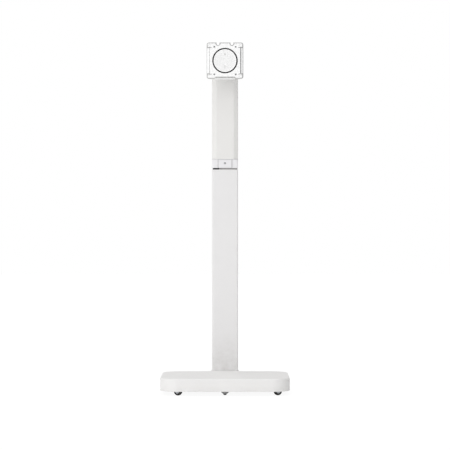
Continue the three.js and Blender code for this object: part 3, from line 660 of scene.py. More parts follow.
def finish(key, slot, name, colour, rough, tint, grain, rough_waves=60.0, tint_waves=18.0,
           metal=0.0, specular=0.5, coat=(0.0, 0.2), anisotropy=0.0, brushed=None, peel=None,
           specks=0.0, edge=None, painted_shade=None, dust_and_shade=None):
    """A procedural material, with the frame's colour slot for the pieces that wear it.

    Texture scales are in waves per metre.
    rough: level, spread                 tint: share of colour drift
    grain, peel: waves, height in mm     coat: weight, roughness
    brushed: scale of the texture space along each axis
    edge: colour, amount, radius in mm (wear; on the plate, painted shade along its edges)   painted_shade: a function that paints shade onto chosen areas
    dust_and_shade: amount, height in metres below which it shows, colour (dust on the base parts,
    painted shade at the foot of the column)
    """
    material = bpy.data.materials.new(name)
    graph = Graph(material)
    base = srgb(colour)
    material.diffuse_color = base
    bsdf = graph.node("BsdfPrincipled", {
        "Base Color": base, "Metallic": metal, "Roughness": rough[0],
        "Specular IOR Level": specular, "Coat Weight": coat[0], "Coat Roughness": coat[1],
        "Anisotropic": anisotropy})
    graph.node("OutputMaterial", {0: bsdf.outputs[0]})
    where = graph.node("TexCoord").outputs["Object"]
    lines = where
    if brushed:
        lines = graph.node("Mapping", {"Vector": where, "Scale": brushed}).outputs["Vector"]

    dark = [c * (1 - tint) for c in base[:3]] + [1]
    light = [min(1, c * (1 + tint * 0.6)) for c in base[:3]] + [1]
    drift = graph.ramp(graph.noise(where, tint_waves, 4.0, 0.6), 0.3, 0.7)
    shade = graph.mix(drift, dark, light)
    if specks:
        cells = graph.node("TexVoronoi", {"Vector": where, "Scale": 1400.0}, feature="F1")
        spots = graph.ramp(cells.outputs["Distance"], 0.0, 0.28, 1.0, 0.0)
        shade = graph.mix(graph.math("MULTIPLY", spots, specks), shade,
                          [c * 0.6 for c in base[:3]] + [1])
    level, spread = rough
    roughness = graph.ramp(graph.noise(lines, rough_waves, 5.0, 0.6), 0.25, 0.75,
                           max(0.02, level - spread), min(1, level + spread))
    # edge tones: wear on most parts, painted shade along the plate's edges; then the plate's painted
    # shade on walls, notches and grooves
    if edge:
        shade = wear_and_shade_corners(graph, where, shade, edge)
    if painted_shade:
        shade = painted_shade(graph, where, shade)
    # a darker film low down: dust on the base parts, painted shade at the foot of the column
    if dust_and_shade:
        amount, below, tone = dust_and_shade
        low = graph.ramp(graph.xyz(where)["Z"], below, 0.012)
        patches = graph.ramp(graph.noise(where, 46.0, 5.0, 0.65), 0.35, 0.75)
        low_darkening = graph.math("MULTIPLY", graph.product(low, patches), amount, clamp=True)
        shade = graph.mix(low_darkening, shade, srgb(tone))
        roughness = graph.math("ADD", roughness, graph.math("MULTIPLY", low_darkening, 0.3), clamp=True)
    graph.put(bsdf.inputs["Base Color"], shade)
    graph.put(bsdf.inputs["Roughness"], roughness)

    ripple = None
    if peel:
        ripple = graph.math("MULTIPLY", graph.noise(where, peel[0], 2.0, 0.4), peel[1])
    height = graph.math("MULTIPLY", graph.noise(lines, grain[0], 2.0, 0.5), grain[1])
    if ripple is not None:
        height = graph.math("ADD", ripple, height)
    bump = graph.node("Bump", {"Strength": 1.0, "Distance": MM, "Height": height})
    graph.put(bsdf.inputs["Normal"], bump.outputs["Normal"])
    MATERIALS[key], SLOTS[key] = material, slot


# moulded covers: satin plastic with a fine grain
finish("cover", "cover_white", "cover_moulded_white", "ebeae9", rough=(0.52, 0.07), tint=0.012,
       grain=(1100, 0.02), edge=("f4f4f2", 0.25, 0.8), dust_and_shade=(0.16, 0.034, DUST), specular=0.38)
finish("sleeve", "sleeve_white", "sleeve_moulded_white", "e9e8e6", rough=(0.5, 0.07), tint=0.012,
       grain=(1200, 0.018), edge=("f3f2f0", 0.25, 0.5), specular=0.38)
finish("collar", "collar_white", "collar_moulded_white", "ecebed", rough=(0.45, 0.06), tint=0.01,
       grain=(1300, 0.014), edge=("f6f5f7", 0.25, 0.4), specular=0.4)
# powder-coated tube: a slight ripple under a satin skin; the darker band low down is painted shade near
# the base
finish("column", "column_white", "column_powder_coat", "e9e8e8", rough=(0.42, 0.06), tint=0.01,
       grain=(1600, 0.006), peel=(520, 0.03), edge=("d4d4d4", 0.3, 0.4), specular=0.42,
       dust_and_shade=(0.45, 0.19, "b4b1ac"))
# the head and its plate
# the plate's grey edge tone and its shade function are painted shade on its edges, walls, notches and
# groove floors
finish("plate", "plate_white", "plate_white", "fbfbfb", rough=(0.42, 0.06), tint=0.006,
       grain=(1500, 0.008), edge=("c8c8c7", 0.6, 0.5), painted_shade=plate_painted_shade, specular=0.4)
# a darker copy of the plate's white: painted shade on the latch lip that shows below the plate
finish("latch", "plate_white", "latch_white_shaded", "e6e6e5", rough=(0.45, 0.06), tint=0.01,
       grain=(1500, 0.01), edge=("d4d4d3", 0.5, 0.5), specular=0.4)
finish("screw_white", "zinc_steel", "screw_painted_white", "e6e6e5", rough=(0.45, 0.08), tint=0.03,
       grain=(1400, 0.01), edge=("c4c4c4", 0.5, 0.2))
finish("hub", "hub_white", "hub_white", "f4f4f4", rough=(0.42, 0.06), tint=0.006,
       grain=(1500, 0.006), specular=0.4)
finish("ring", "ring_dark", "ring_friction_lining", "232325", rough=(0.85, 0.08), tint=0.15,
       tint_waves=240, grain=(1900, 0.05), specular=0.25, specks=0.4)
# small plastics
finish("black", "black_plastic", "slider_black", "161617", rough=(0.5, 0.1), tint=0.1,
       grain=(1500, 0.03), edge=("3c3c3e", 0.5, 0.3))
finish("tab", "black_plastic", "tab_black", "0b0b0c", rough=(0.55, 0.1), tint=0.06,
       grain=(1300, 0.02), specular=0.22)
finish("nylon", "guide_nylon", "guide_nylon_grey", "a2a1a0", rough=(0.5, 0.1), tint=0.05,
       grain=(1000, 0.03))
# metals
finish("mast", "mast_aluminium", "mast_anodised", "c9cbce", rough=(0.34, 0.08), tint=0.03,
       tint_waves=10, metal=1.0, brushed=(40, 40, 0.8), rough_waves=26, grain=(30, 0.012),
       anisotropy=0.5)
finish("bracket", "bracket_steel", "bracket_powder_coat", "dcdcdb", rough=(0.45, 0.07), tint=0.02,
       grain=(1500, 0.008), peel=(560, 0.035), edge=("9a9a99", 0.45, 0.4))
finish("zinc", "zinc_steel", "zinc_plate", "b9bcc0", rough=(0.32, 0.12), tint=0.08,
       tint_waves=130, metal=1.0, rough_waves=190, grain=(700, 0.02))
finish("screw", "zinc_steel", "screw_black_zinc", "454547", rough=(0.38, 0.12), tint=0.1,
       tint_waves=300, metal=0.85, rough_waves=400, grain=(1400, 0.02), edge=("77787a", 0.6, 0.25))
finish("screw_mid", "zinc_steel", "screw_mid_zinc", "9fa0a1", rough=(0.42, 0.12), tint=0.1,
       tint_waves=300, metal=0.5, rough_waves=400, grain=(1400, 0.02), edge=("9a9b9d", 0.6, 0.25))
finish("screw_grey", "zinc_steel", "screw_grey_zinc", "b4b5b6", rough=(0.45, 0.1), tint=0.08,
       tint_waves=260, metal=0.3, rough_waves=400, grain=(1400, 0.02))
finish("spring", "zinc_steel", "spring_wire", "c2c3c6", rough=(0.28, 0.08), tint=0.05, metal=1.0,
       grain=(1500, 0.01))
finish("gas", "spring_black", "gas_cylinder_black", "101011", rough=(0.22, 0.06), tint=0.05,
       grain=(1200, 0.004), coat=(0.6, 0.1), edge=("5a5a5c", 0.3, 0.4))
finish("rod", "zinc_steel", "rod_chrome", "d5d7d9", rough=(0.12, 0.04), tint=0.02, metal=1.0,
       brushed=(4, 4, 0.2), grain=(500, 0.002))
# base and wheels
finish("chassis", "chassis_black", "chassis_black_coat", "26272a", rough=(0.5, 0.08), tint=0.06,
       grain=(1500, 0.01), peel=(500, 0.05), edge=("6b6c6f", 0.5, 0.6), dust_and_shade=(0.2, 0.04, DUST))
finish("iron", "ballast_iron", "ballast_iron", "4b4a4a", rough=(0.72, 0.12), tint=0.18,
       tint_waves=60, metal=0.6, grain=(500, 0.08), edge=("6a5f57", 0.4, 0.6))
finish("wheel", "wheel_rubber", "wheel_rubber", "131314", rough=(0.62, 0.1), tint=0.12,
       tint_waves=150, rough_waves=220, grain=(1500, 0.035), edge=("2c2b2a", 0.5, 0.5),
       dust_and_shade=(0.25, 0.02, DUST))
finish("wheel_hub", "wheel_rubber", "wheel_hub_grey", "3a3b3d", rough=(0.5, 0.1), tint=0.06,
       grain=(1300, 0.02))
finish("glide", "zinc_steel", "glide_grey", "9a9a9b", rough=(0.5, 0.1), tint=0.06, metal=0.1,
       grain=(1100, 0.03), dust_and_shade=(0.15, 0.014, DUST))
finish("pad", "black_plastic", "glide_pad", "4c4c4d", rough=(0.75, 0.08), tint=0.1,
       grain=(1300, 0.05), specular=0.3)
finish("inner", "cover_white", "moulded_white_inner", "e2e1df", rough=(0.6, 0.08), tint=0.02,
       grain=(900, 0.03), specular=0.35)


# ------------------------------------------------------------------ the base
def tongued_outline(half_width, front, back, corner, tongue_half, tongue_back, tongue_corner,
                    flare, steps):
    """A rounded rectangle with a tongue at the back, flared into it. steps are the arc steps of
    the corners, the tongue's corners and the flares."""
    side, near, far = half_width - corner, front + corner, back - corner
    tip_x, tip_y = tongue_half - tongue_corner, tongue_back - tongue_corner
    flare_x, flare_y = tongue_half + flare, back + flare
    n_corner, n_tongue, n_flare = steps
    return (arc(side, near, corner, 270, 360, n_corner) + arc(side, far, corner, 0, 90, n_corner)
            + arc(flare_x, flare_y, flare, 270, 180, n_flare)
            + arc(tip_x, tip_y, tongue_corner, 0, 90, n_tongue)
            + arc(-tip_x, tip_y, tongue_corner, 90, 180, n_tongue)
            + arc(-flare_x, flare_y, flare, 360, 270, n_flare)
            + arc(-side, far, corner, 90, 180, n_corner)
            + arc(-side, near, corner, 180, 270, n_corner))


def base_cover():
    """The moulded shell, open below, with a mouth for the column."""
    top, bottom = COVER.z1, COVER.z0
    fillet, wall, lip, mouth_lip = 4.0, 3.0, 0.9, 0.9

    def rings(stations):
        return [[(x, y, z) for x, y in tongued_outline(
            COVER.x1 - d, COVER.y0 + d, 130.0 - d, 58.0 - d, 46.0 - min(d, 2),
            COVER.y1 - min(d, 2.4), 9.0 - min(d, 5), 16.0 + d, (26, 10, 10))] for z, d in stations]

    solid = Solid()
    outside = [(bottom + lip * rise, lip * fall) for fall, rise in quarter(4)]
    outside += [(bottom + 12, 0.0), (top - fillet - 0.3, 0.0)]
    outside += [(top - fillet * fall, fillet * rise) for fall, rise in quarter(10)]
    outside.append((top, fillet + 1.2))
    outer = solid.skin(rings(outside))
    inner = [solid.ring(ring) for ring in rings([
        (bottom, wall - 0.4), (bottom + 0.5, wall), (top - wall - 1.2, wall),
        (top - wall - 0.2, wall + 0.6), (top - wall, wall + 1.2)])]
    solid.strip(outer[0], inner[0])
    solid.join(inner, 1)
    mouth = rounded_rect(COLUMN.w + 1.2, COLUMN.d + 1.2, 5.6, 0, COLUMN.cy, 12)
    edge = [(top - mouth_lip * rise, -mouth_lip * fall) for fall, rise in quarter(4)]
    hole = solid.skin(levels(mouth, edge + [(top - wall, 0.0)]))
    solid.cap(outer[-1], hole[0])
    solid.cap(inner[-1], hole[-1], slot=1)
    add_part("base_cover_shell", solid, ("cover", "inner"), "base", "base_cover", sharp=30)


def chassis():
    """The pressed plate with its tongue under the column, its folded rim and its ribs."""
    cad = Box("chassis_plate")
    outline = tongued_outline(cad.x1, cad.y0, 126.0, 54.0, 41.4, 184.4, 5.0, 14.0, (22, 6, 8))
    holes = [circle(0, -165, 4.6, 24), circle(-25, MAST_Y, 4.5, 20), circle(25, MAST_Y, 4.5, 20)]
    solid = prism(outline, (CHASSIS_Z0, CHASSIS_Z1), ends=(0.8, 0.8), holes=holes, hole_end=0.5)
    add_part("chassis_pressed_plate", solid, "chassis", "base", "chassis_plate", sharp=30)

    joined = CHASSIS_Z0 + 0.4
    rim = loft(levels(rounded_rect(cad.w, 312.0, 54.0, 0, -30, 22), [
        (29.0, 0.0), (28.2, 0.6), (28.2, 1.9), (29.0, 2.5), (joined, 2.5), (joined, 0.05)]), loop=True)
    add_part("chassis_folded_rim", rim, "chassis", "base")

    ribs = Solid()
    insets = (0.0, 0.3, 2.2, 2.8, 3.8)
    # width, depth, x, y, heights from the plate's underside
    for width, depth, x, y, heights in (
            (232, 12, 0, -109.0, (0.3, -0.8, -4.2, -4.8, -5.0)),
            (232, 12, 0, 57.0, (0.3, -0.8, -4.2, -4.8, -5.0)),
            (12, 150, -118.0, -26, (0.3, -0.8, -3.6, -4.1, -4.3)),
            (12, 150, 118.0, -26, (0.3, -0.8, -3.6, -4.1, -4.3))):
        stations = [(CHASSIS_Z0 + dz, d) for dz, d in zip(heights, insets)]
        ribs.add(loft(levels(rounded_rect(width, depth, 5.9, x, y, 8), stations)))
    add_part("chassis_stiffening_ribs", ribs, "chassis", "base", sharp=40)

    screws = Solid()
    for x, y in ((-185, -90), (185, -90), (-185, 40), (185, 40), (-90, 114), (90, 114)):
        screws.add(screw((x, y, CHASSIS_Z0 - 0.02), (0, 0, -1), 4.2, 2.3, "cross", 2.2, 1.3,
                         shank=(2.0, 6), spin=0.4 + x * 0.01))
    add_part("cover_screws", screws, "screw", "base")


def ballast_and_bolts():
    cad = Box("ballast_plate")
    solid = prism(rounded_rect(330, 230, 20, 0, -30, 10), (cad.z0, cad.z1), ends=(0.9, 0.9))
    notch = prism(rounded_rect(110, 60, 8, 0, 85, 8), (cad.z0 - 3, cad.z1 + 3))
    add_part("ballast_slab", solid, "iron", "base", "ballast_plate", sharp=32,
             tools=[("DIFFERENCE", [notch])])
    for side, x in (("left", -25.0), ("right", 25.0)):
        bolt = screw((x, MAST_Y, CHASSIS_Z0 - 0.3), (0, 0, -1), 6.5, 5.0, "hex", 5.0, 2.6,
                     shank=(4.0, 22.5), spin=0.3)
        add_part(f"foot_bolt_{side}_m8", bolt, "zinc", "base", f"foot_bolt_{side}")


# ------------------------------------------------------------------ the column and its collar
def column():
    """The extrusion, with a chamber for the mast and a channel open at the back."""
    half, front, back = COLUMN.x1, COLUMN.y0, COLUMN.y1
    wall, channel, mouth = 2.5, 40.5, 20.0
    chamber_w, chamber_d = 81, 28
    outline = mirrored([(mouth, back, 0.5), (half, back, 5.0), (half, front, 5.0)])
    outline += mirrored([(-mouth, back - wall, 0.5), (-channel, back - wall, 1.5),
                         (-channel, MAST_Y + chamber_d / 2 + wall, 1.5)])
    tube = prism(rounded(outline, 10), (COLUMN.z0, COLUMN.z1), ends=(0.4, 0.4),
                 holes=[rounded_rect(chamber_w, chamber_d, 3, 0, MAST_Y, 5)], hole_end=0.35)
    add_part("column_extrusion", tube, "column", "base", "column_tube", sharp=30)

    cad = Box("column_rear_cover")
    step, front = cad.y1 - 2.7, cad.y0
    strip = [(-19.6, cad.y1, 0.5), (19.6, cad.y1, 0.5), (19.6, step), (23, step, 0.4),
             (23, front, 0.5), (20.5, front, 0.5), (20.5, front + 1.0, 0.3),
             (-20.5, front + 1.0, 0.3), (-20.5, front, 0.5), (-23, front, 0.5), (-23, step, 0.4),
             (-19.6, step)]
    solid = prism(rounded(strip, 3), (cad.z0, cad.z1), ends=(0.35, 0.35), n=2)
    add_part("cable_channel_cover", solid, "sleeve", "base", "column_rear_cover", sharp=30)


def rect_rings(rows):
    """Rounded rectangles stacked along Z, each (width, depth, corner radius, centre y, z)."""
    return [[(x, y, z) for x, y in rounded_rect(width, depth, radius, 0, cy, 6)]
            for width, depth, radius, cy, z in rows]


def guide_bush():
    cad, mid = Box("guide_bush"), COLUMN.cy
    low, high = COLUMN.z1 + 0.3, COLLAR.z0 - 0.3  # the part that shows between tube and collar
    rings = rect_rings([
        (79.6, 26.6, 2.4, MAST_Y, cad.z0), (80.2, 27.2, 2.6, MAST_Y, cad.z0 + 0.4),
        (80.2, 27.2, 2.6, MAST_Y, low), (81.4, 41.4, 2.8, mid, low),
        (82, 42, 3, mid, COLUMN.z1 + 0.6), (82, 42, 3, mid, COLLAR.z0 - 0.6),
        (81.4, 41.4, 2.8, mid, high), (76, 27.4, 2.6, MAST_Y, high),
        (76, 27.4, 2.6, MAST_Y, cad.z1 - 0.5), (75.2, 26.6, 2.4, MAST_Y, cad.z1),
        (70.2, 26.2, 3.4, MAST_Y, cad.z1), (68.8, 24.8, 3.2, MAST_Y, cad.z1 - 1.0),
        (68.8, 24.8, 3.2, MAST_Y, cad.z0 + 1.0), (70.2, 26.0, 3.4, MAST_Y, cad.z0)])
    front_slot = prism(rounded_rect(33.0, 12.0, 0.6, -27.5, 138.4, 3), (low, high))
    rear_slot = prism(rounded_rect(48.0, 7.5, 0.8, 0, 179.25, 3), (650, 800))
    add_part("mast_guide_bush", loft(rings, loop=True), "nylon", "base", "guide_bush",
             tools=[("DIFFERENCE", [front_slot, rear_slot])])


def collar():
    """The ring, the panel and strip that fill its front window, and the tension screw."""
    tension = Box("tension_screw")
    window0, window1 = INSERT.x0 - 1.15, INSERT.x1 + 4.2
    bore_x, bore_y0, bore_y1 = 38.4, 142.9, 171.1
    outline = [(window1, COLLAR.y0, 0.8), (COLLAR.x1, COLLAR.y0, 5.0), (COLLAR.x1, COLLAR.y1, 5.0),
               (COLLAR.x0, COLLAR.y1, 5.0), (COLLAR.x0, COLLAR.y0, 5.0), (window0, COLLAR.y0, 0.8),
               (window0, bore_y0, 0.6), (-bore_x, bore_y0, 2.6), (-bore_x, bore_y1, 2.6),
               (bore_x, bore_y1, 2.6), (bore_x, bore_y0, 2.6), (window1, bore_y0, 0.6)]
    ring = prism(rounded(outline, 9), (COLLAR.z0 + 0.5, COLLAR.z1), ends=(0.5, 0.55),
                 holes=[rounded_rect(48, 8, 2, 0, 179, 4)], hole_end=0.5)
    add_part("collar_ring", ring, "collar", "base", "collar", sharp=30)

    front, back = INSERT.y0, INSERT.y1
    panel = Solid()
    outline = rounded_rect(INSERT.w, INSERT.h - 0.5, 1.2, INSERT.cx, INSERT.cz + 0.25, 5)
    outer = panel.skin(levels(outline, end_stations((front, back), (0.55, 0.25), 4), "Y"))
    seat = panel.skin(circle_levels(tension.cx, tension.cz, [
        (front, 4.1), (front + 0.18, 3.75), (front + 0.55, 3.5), (front + 1.0, 3.3), (back, 3.3)], 32))
    panel.cap(outer[0], seat[0])
    panel.cap(outer[-1], seat[-1])
    add_part("collar_insert_panel", panel, "collar", "base", "collar_front_insert", sharp=30)

    strip = prism(rounded_box(INSERT.x1 + 0.75, window1 - 0.7, COLLAR.z0 + 0.5, COLLAR.z1 - 0.5, 0.5, 4),
                  (COLLAR.y0 + 0.5, 142.4), "Y", ends=(0.25, 0), n=2)
    add_part("collar_window_strip", strip, "collar", "base", sharp=30)

    head = screw((tension.cx, back + 0.1, tension.cz), (0, -1, 0), 2.95, back + 0.1 - tension.y0,
                 "hex", 2.4, 0.9, spin=0.2, dome=0.5)
    add_part("tension_screw_head", head, "screw_grey", "base", "tension_screw")


def height_lock():
    cad = Box("height_lock_slider")
    low, high = cad.z0 - 0.15, cad.z1 + 0.6
    tab = prism(rounded_box(cad.x0, cad.x1, low, high, 0.4, 3), (140.95, 143.2), "Y",
                ends=(0.25, 0.15), n=2)
    tab.add(prism(rounded_box(cad.x0 + 0.2, cad.x1 - 0.2, low + 0.1, cad.z1 - 0.25, 0.4, 3),
                  (142.6, cad.y1), "Y", ends=(0, 0.15), n=2))
    grip = Solid()
    for k in range(5):
        x = cad.cx - 3.2 + k * 1.6
        grip.add(prism(rounded_box(x - 0.4, x + 0.4, low + 0.15, high - 0.15, 0.15, 2),
                       (cad.y0 + 0.1, 141.2), "Y", ends=(0.12, 0.0), n=2))
    add_part("lock_slider_tab", tab, "tab", "height_lock", "height_lock_slider")
    add_part("lock_slider_grip", grip, "tab", "height_lock")


# ------------------------------------------------------------------ the mast and its inside
def mast():
    cad = Box("mast_tube")
    tube = prism(rounded_rect(cad.w, cad.d, 3, 0, MAST_Y, 6), (cad.z0, cad.z1), ends=(0.4, 0.4),
                 holes=[rounded_rect(cad.w - 4, cad.d - 4, 1.5, 0, MAST_Y, 4)], hole_end=0.3, n=2)
    add_part("mast_profile", tube, "mast", "mast", "mast_tube", sharp=30)

    cad = Box("mast_shoe")
    shoe = loft(rect_rings([
        (cad.w - 1.4, cad.d - 1.4, 2.2, MAST_Y, cad.z0), (cad.w, cad.d, 2.6, MAST_Y, cad.z0 + 1.4),
        (cad.w, cad.d, 2.6, MAST_Y, cad.z1 - 1.4), (cad.w - 1.4, cad.d - 1.4, 2.2, MAST_Y, cad.z1),
        (68.7, 24.7, 3.2, MAST_Y, cad.z1), (68.7, 24.7, 3.2, MAST_Y, cad.z0)]), loop=True)
    add_part("mast_slide_shoe", shoe, "nylon", "mast", "mast_shoe")


def gas_spring():
    axis_at = (0, MAST_Y, 0)
    pin_box, cad = Box("gas_spring_pin"), Box("gas_spring_cylinder")
    z0, z1 = cad.z0, cad.z1
    outside = profile([
        (4.4, z0), (8.5, z0, 1.0), (8.5, z0 + 6), (8.1, z0 + 6.6, 0.3), (8.1, z0 + 8, 0.3),
        (8.5, z0 + 8.6), (8.5, z1 - 24, 2.5), (6.4, z1 - 21, 1), (6.4, z1, 1.2), (0, z1)])
    inside = [(0, z1 - 28), (6.8, z1 - 28), (6.8, z0 + 8), (4.4, z0 + 8), (4.4, z0)]
    cylinder = turn([(4.4, z0)] + outside[1:] + inside, 32, "Z", axis_at)
    cross_hole = rod(3.3, -20, 20, 24, "X", (0, MAST_Y, pin_box.cz))
    add_part("gas_cylinder_body", cylinder, "gas", "mast", "gas_spring_cylinder", sharp=32,
             tools=[("DIFFERENCE", [cross_hole])])

    cad = Box("gas_spring_rod")
    piston = turn(profile([(0, cad.z0), (4, cad.z0, 0.8), (4, cad.z1 - 11), (6.4, cad.z1 - 11, 0.5),
                           (6.4, cad.z1, 0.5), (0, cad.z1)], 3), 32, "Z", axis_at)
    add_part("gas_rod_piston", piston, "rod", "base", "gas_spring_rod")
    nut = hex_nut((0, MAST_Y, Box("spring_anchor").z1 + 0.3), (0, 0, 1), 11.2, 5, 4.05)
    add_part("gas_rod_nut", nut, "zinc", "base")
    pin = turn(profile([(0, pin_box.x0), (3.0, pin_box.x0, 0.5), (3.0, pin_box.x1, 0.5),
                        (0, pin_box.x1)], 3), 24, "X", (0, MAST_Y, pin_box.cz))
    add_part("gas_cross_pin", pin, "zinc", "mast", "gas_spring_pin")


# ------------------------------------------------------------------ the sleeve round the mast's top
def sleeve_front_outline(d):
    """The front, moved inwards by d: a gently bowed face between two sloping ones."""
    slope_x, slope_y = 14.0, 8.0
    flat = 29.0 - d * (math.hypot(slope_x, slope_y) - slope_x) / slope_y
    front, half = SLEEVE_FRONT.y0 + d, SLEEVE_FRONT.x1 - d
    side = front + (half - flat) * slope_y / slope_x
    bow = [(-flat + 4 + (2 * flat - 8) * i / 10, front + 0.16 * (2 * i / 10 - 1) ** 2, 0)
           for i in range(1, 10)]
    return ([(-half, side, 6.0 - d * 0.5), (-flat, front, 9.0 - d * 0.5)] + bow
            + [(flat, front, 9.0 - d * 0.5), (half, side, 6.0 - d * 0.5)])


def sleeve():
    """The front and rear shells and the cap over them."""
    half, back, wall, back_corner = SLEEVE_FRONT.x1, SLEEVE_REAR.y1, 2.2, 10.0
    inside = half - wall
    split = SLEEVE_FRONT.y1
    outline = [(-half, split, 0.45)] + sleeve_front_outline(0.0)
    outline += [(half, split, 0.45), (inside, split, 0.45)]
    outline += list(reversed(sleeve_front_outline(wall))) + [(-inside, split, 0.45)]
    shell = prism(rounded(outline, 10), (SLEEVE_FRONT.z0, SLEEVE_FRONT.z1), ends=(0.4, 0.3))
    low, high, front = HEAD_Z - 31, HEAD_Z + 60, SLEEVE_FRONT.y0
    opening = prism(rounded([(-21, low, 5), (21, low, 5), (21, high), (-21, high)], 8),
                    (front - 6, front + 9), "Y")
    add_part("sleeve_front_shell", shell, "sleeve", "mast", "sleeve_front", sharp=30,
             tools=[("DIFFERENCE", [opening])])

    split = SLEEVE_REAR.y0
    outline = [(half, split, 0.45), (half, back, back_corner), (-half, back, back_corner),
               (-half, split, 0.45), (-inside, split, 0.45),
               (-inside, back - wall, back_corner - wall), (inside, back - wall, back_corner - wall),
               (inside, split, 0.45)]
    shell = prism(rounded(outline, 14), (SLEEVE_REAR.z0, SLEEVE_REAR.z1), ends=(0.4, 0.3))
    add_part("sleeve_rear_shell", shell, "sleeve", "mast", "sleeve_rear", sharp=30)

    cad = Box("sleeve_cap")
    edge = 3.2
    outline = ccw(rounded(sleeve_front_outline(0.0)
                          + [(half, back, back_corner), (-half, back, back_corner)], 10))
    stations = [(cad.z0, 0.5), (cad.z0 + 0.15, 0.15), (cad.z0 + 0.5, 0.0)]
    stations += [(cad.z1 - 3.4 + edge * (1 - fall), edge * rise) for fall, rise in quarter(8)]
    rings = levels(outline, stations)
    crown, mid_y = inset(outline, edge), (front + back) / 2
    for share, z in ((0.95, cad.z1 - 0.08), (0.84, cad.z1 - 0.01), (0.7, cad.z1)):
        rings.append([(x * share, mid_y + (y - mid_y) * share, z) for x, y in crown])
    add_part("sleeve_top_cap", loft(rings), "sleeve", "mast", "sleeve_cap", sharp=30)


# ------------------------------------------------------------------ the head
SWIVEL_AT = (0, SWIVEL_Y, 0)
TILT_AT = (0, TILT_Y, HEAD_Z)
PIN_HOLE_R = 4.3


def swivel_bore(radius, n):
    return rod(radius, HEAD_Z - 60, HEAD_Z + 60, n, "Z", SWIVEL_AT)


def tilt_bore():
    return rod(PIN_HOLE_R, -60, 60, 32, "X", TILT_AT)


def head_bracket():
    """A plate on the mast with two ears that hold the swivel pin."""
    cad = Box("head_bracket")
    plate = prism(rounded_rect(40, cad.h, 4, 0, HEAD_Z, 6), (132, cad.y1), "Y", ends=(1.0, 0.4))
    ear = [(-14, 134.5)] + arc(0, SWIVEL_Y, 10, 180, 360, 26) + [(14, 134.5)]
    ears = [prism(ear, (HEAD_Z + z, HEAD_Z + z + 6), ends=(0.7, 0.7)) for z in (21.8, -27.8)]
    add_part("head_bracket_clevis", plate, "bracket", "mast", "head_bracket",
             tools=[("UNION", ears), ("DIFFERENCE", [swivel_bore(PIN_HOLE_R, 32)])])
    screws = Solid()
    for x in (-14.5, 14.5):
        for z in (-15.5, 15.5):
            screws.add(screw((x, 132.02, HEAD_Z + z), (0, -1, 0), 3.9, 2.2, "hex", 3.0, 1.2,
                             shank=(2.0, 12), spin=0.3 * x))
    add_part("bracket_screws", screws, "zinc", "mast")

    cad = Box("swivel_pin")
    pin = turn(profile([(0, cad.z0 + 4.5), (4, cad.z0 + 4.5), (4, cad.z1 - 3.4),
                        (6.5, cad.z1 - 3.4, 0.5), (6.5, cad.z1, 1.3), (0, cad.z1)]),
               32, "Z", SWIVEL_AT)
    add_part("swivel_pin_bolt", pin, "zinc", "mast", "swivel_pin")
    nut = hex_nut((0, SWIVEL_Y, HEAD_Z - 28.1), (0, 0, -1), 11.2, 3.4, 4.05)
    add_part("swivel_pin_nut", nut, "zinc", "mast")


def swivel_yoke():
    """A fork on an upright barrel, with the tilt pin through its nose."""
    cad = Box("swivel_yoke")
    half_h = 9
    tip = TILT_Y - half_h
    outline = mirrored([(-24, 117, 2), (-24, tip, 0), (-18, tip, 0), (-18, 111.3, 3)])
    fork = prism(rounded(outline, 6), (HEAD_Z - half_h, HEAD_Z + half_h))
    nose = prism(arc(TILT_Y, HEAD_Z, half_h, 90, 270, 30)
                 + [(118, HEAD_Z - half_h), (118, HEAD_Z + half_h)], (-26, 26), "X")
    barrel = turn(profile([(0, cad.z0), (9, cad.z0, 0.8), (9, cad.z1, 0.8), (0, cad.z1)]),
                  48, "Z", SWIVEL_AT)
    add_part("swivel_fork", fork, "bracket", "swivel", "swivel_yoke", sharp=32, bevel=0.35,
             tools=[("INTERSECT", [nose]), ("UNION", [barrel]),
                    ("DIFFERENCE", [swivel_bore(6.3, 40), tilt_bore()])])

    cad = Box("swivel_bush")
    bush = turn([(4.35, cad.z0), (5.6, cad.z0), (6.0, cad.z0 + 0.4), (6.0, cad.z1 - 0.4),
                 (5.6, cad.z1), (4.35, cad.z1), (4.35, cad.z0)], 32, "Z", SWIVEL_AT)
    add_part("swivel_bush_sleeve", bush, "nylon", "swivel", "swivel_bush")
    bolt = screw((-24.4, TILT_Y, HEAD_Z), (-1, 0, 0), 6.8, 3.6, "hex", 5.0, 2.0,
                 shank=(4.0, 54.9), dome=0.3)
    add_part("tilt_pin_bolt", bolt, "zinc", "swivel", "tilt_pin")
    cad = Box("tilt_nut")
    nut = hex_nut((cad.x0, TILT_Y, HEAD_Z), (1, 0, 0), 12.6, cad.w, 4.05)
    add_part("tilt_lock_nut", nut, "zinc", "swivel", "tilt_nut")


def tilt_knuckle():
    """Spindle, flange, neck and barrel in one casting."""
    front = Box("tilt_knuckle").y0
    flange = turn(profile([
        (0, front), (25.7, front, 0.6), (25.7, 79.7, 0.5), (35, 79.7, 1.0), (35, 85.2, 1.6),
        (17, 85.2, 3), (14, 88, 3), (12.5, 92, 1), (0, 92)], 5), 72, "Y", (0, 0, HEAD_Z))
    neck = prism(rounded_rect(26, 15, 3, 0, HEAD_Z, 6), (84, 98), "Y")
    barrel = turn(profile([(0, -17.6), (8.5, -17.6, 0.8), (8.5, 17.6, 0.8), (0, 17.6)]),
                  48, "X", TILT_AT)
    add_part("tilt_knuckle_casting", flange, "bracket", "tilt", "tilt_knuckle", sharp=32,
             tools=[("UNION", [neck, barrel]), ("DIFFERENCE", [tilt_bore()])])


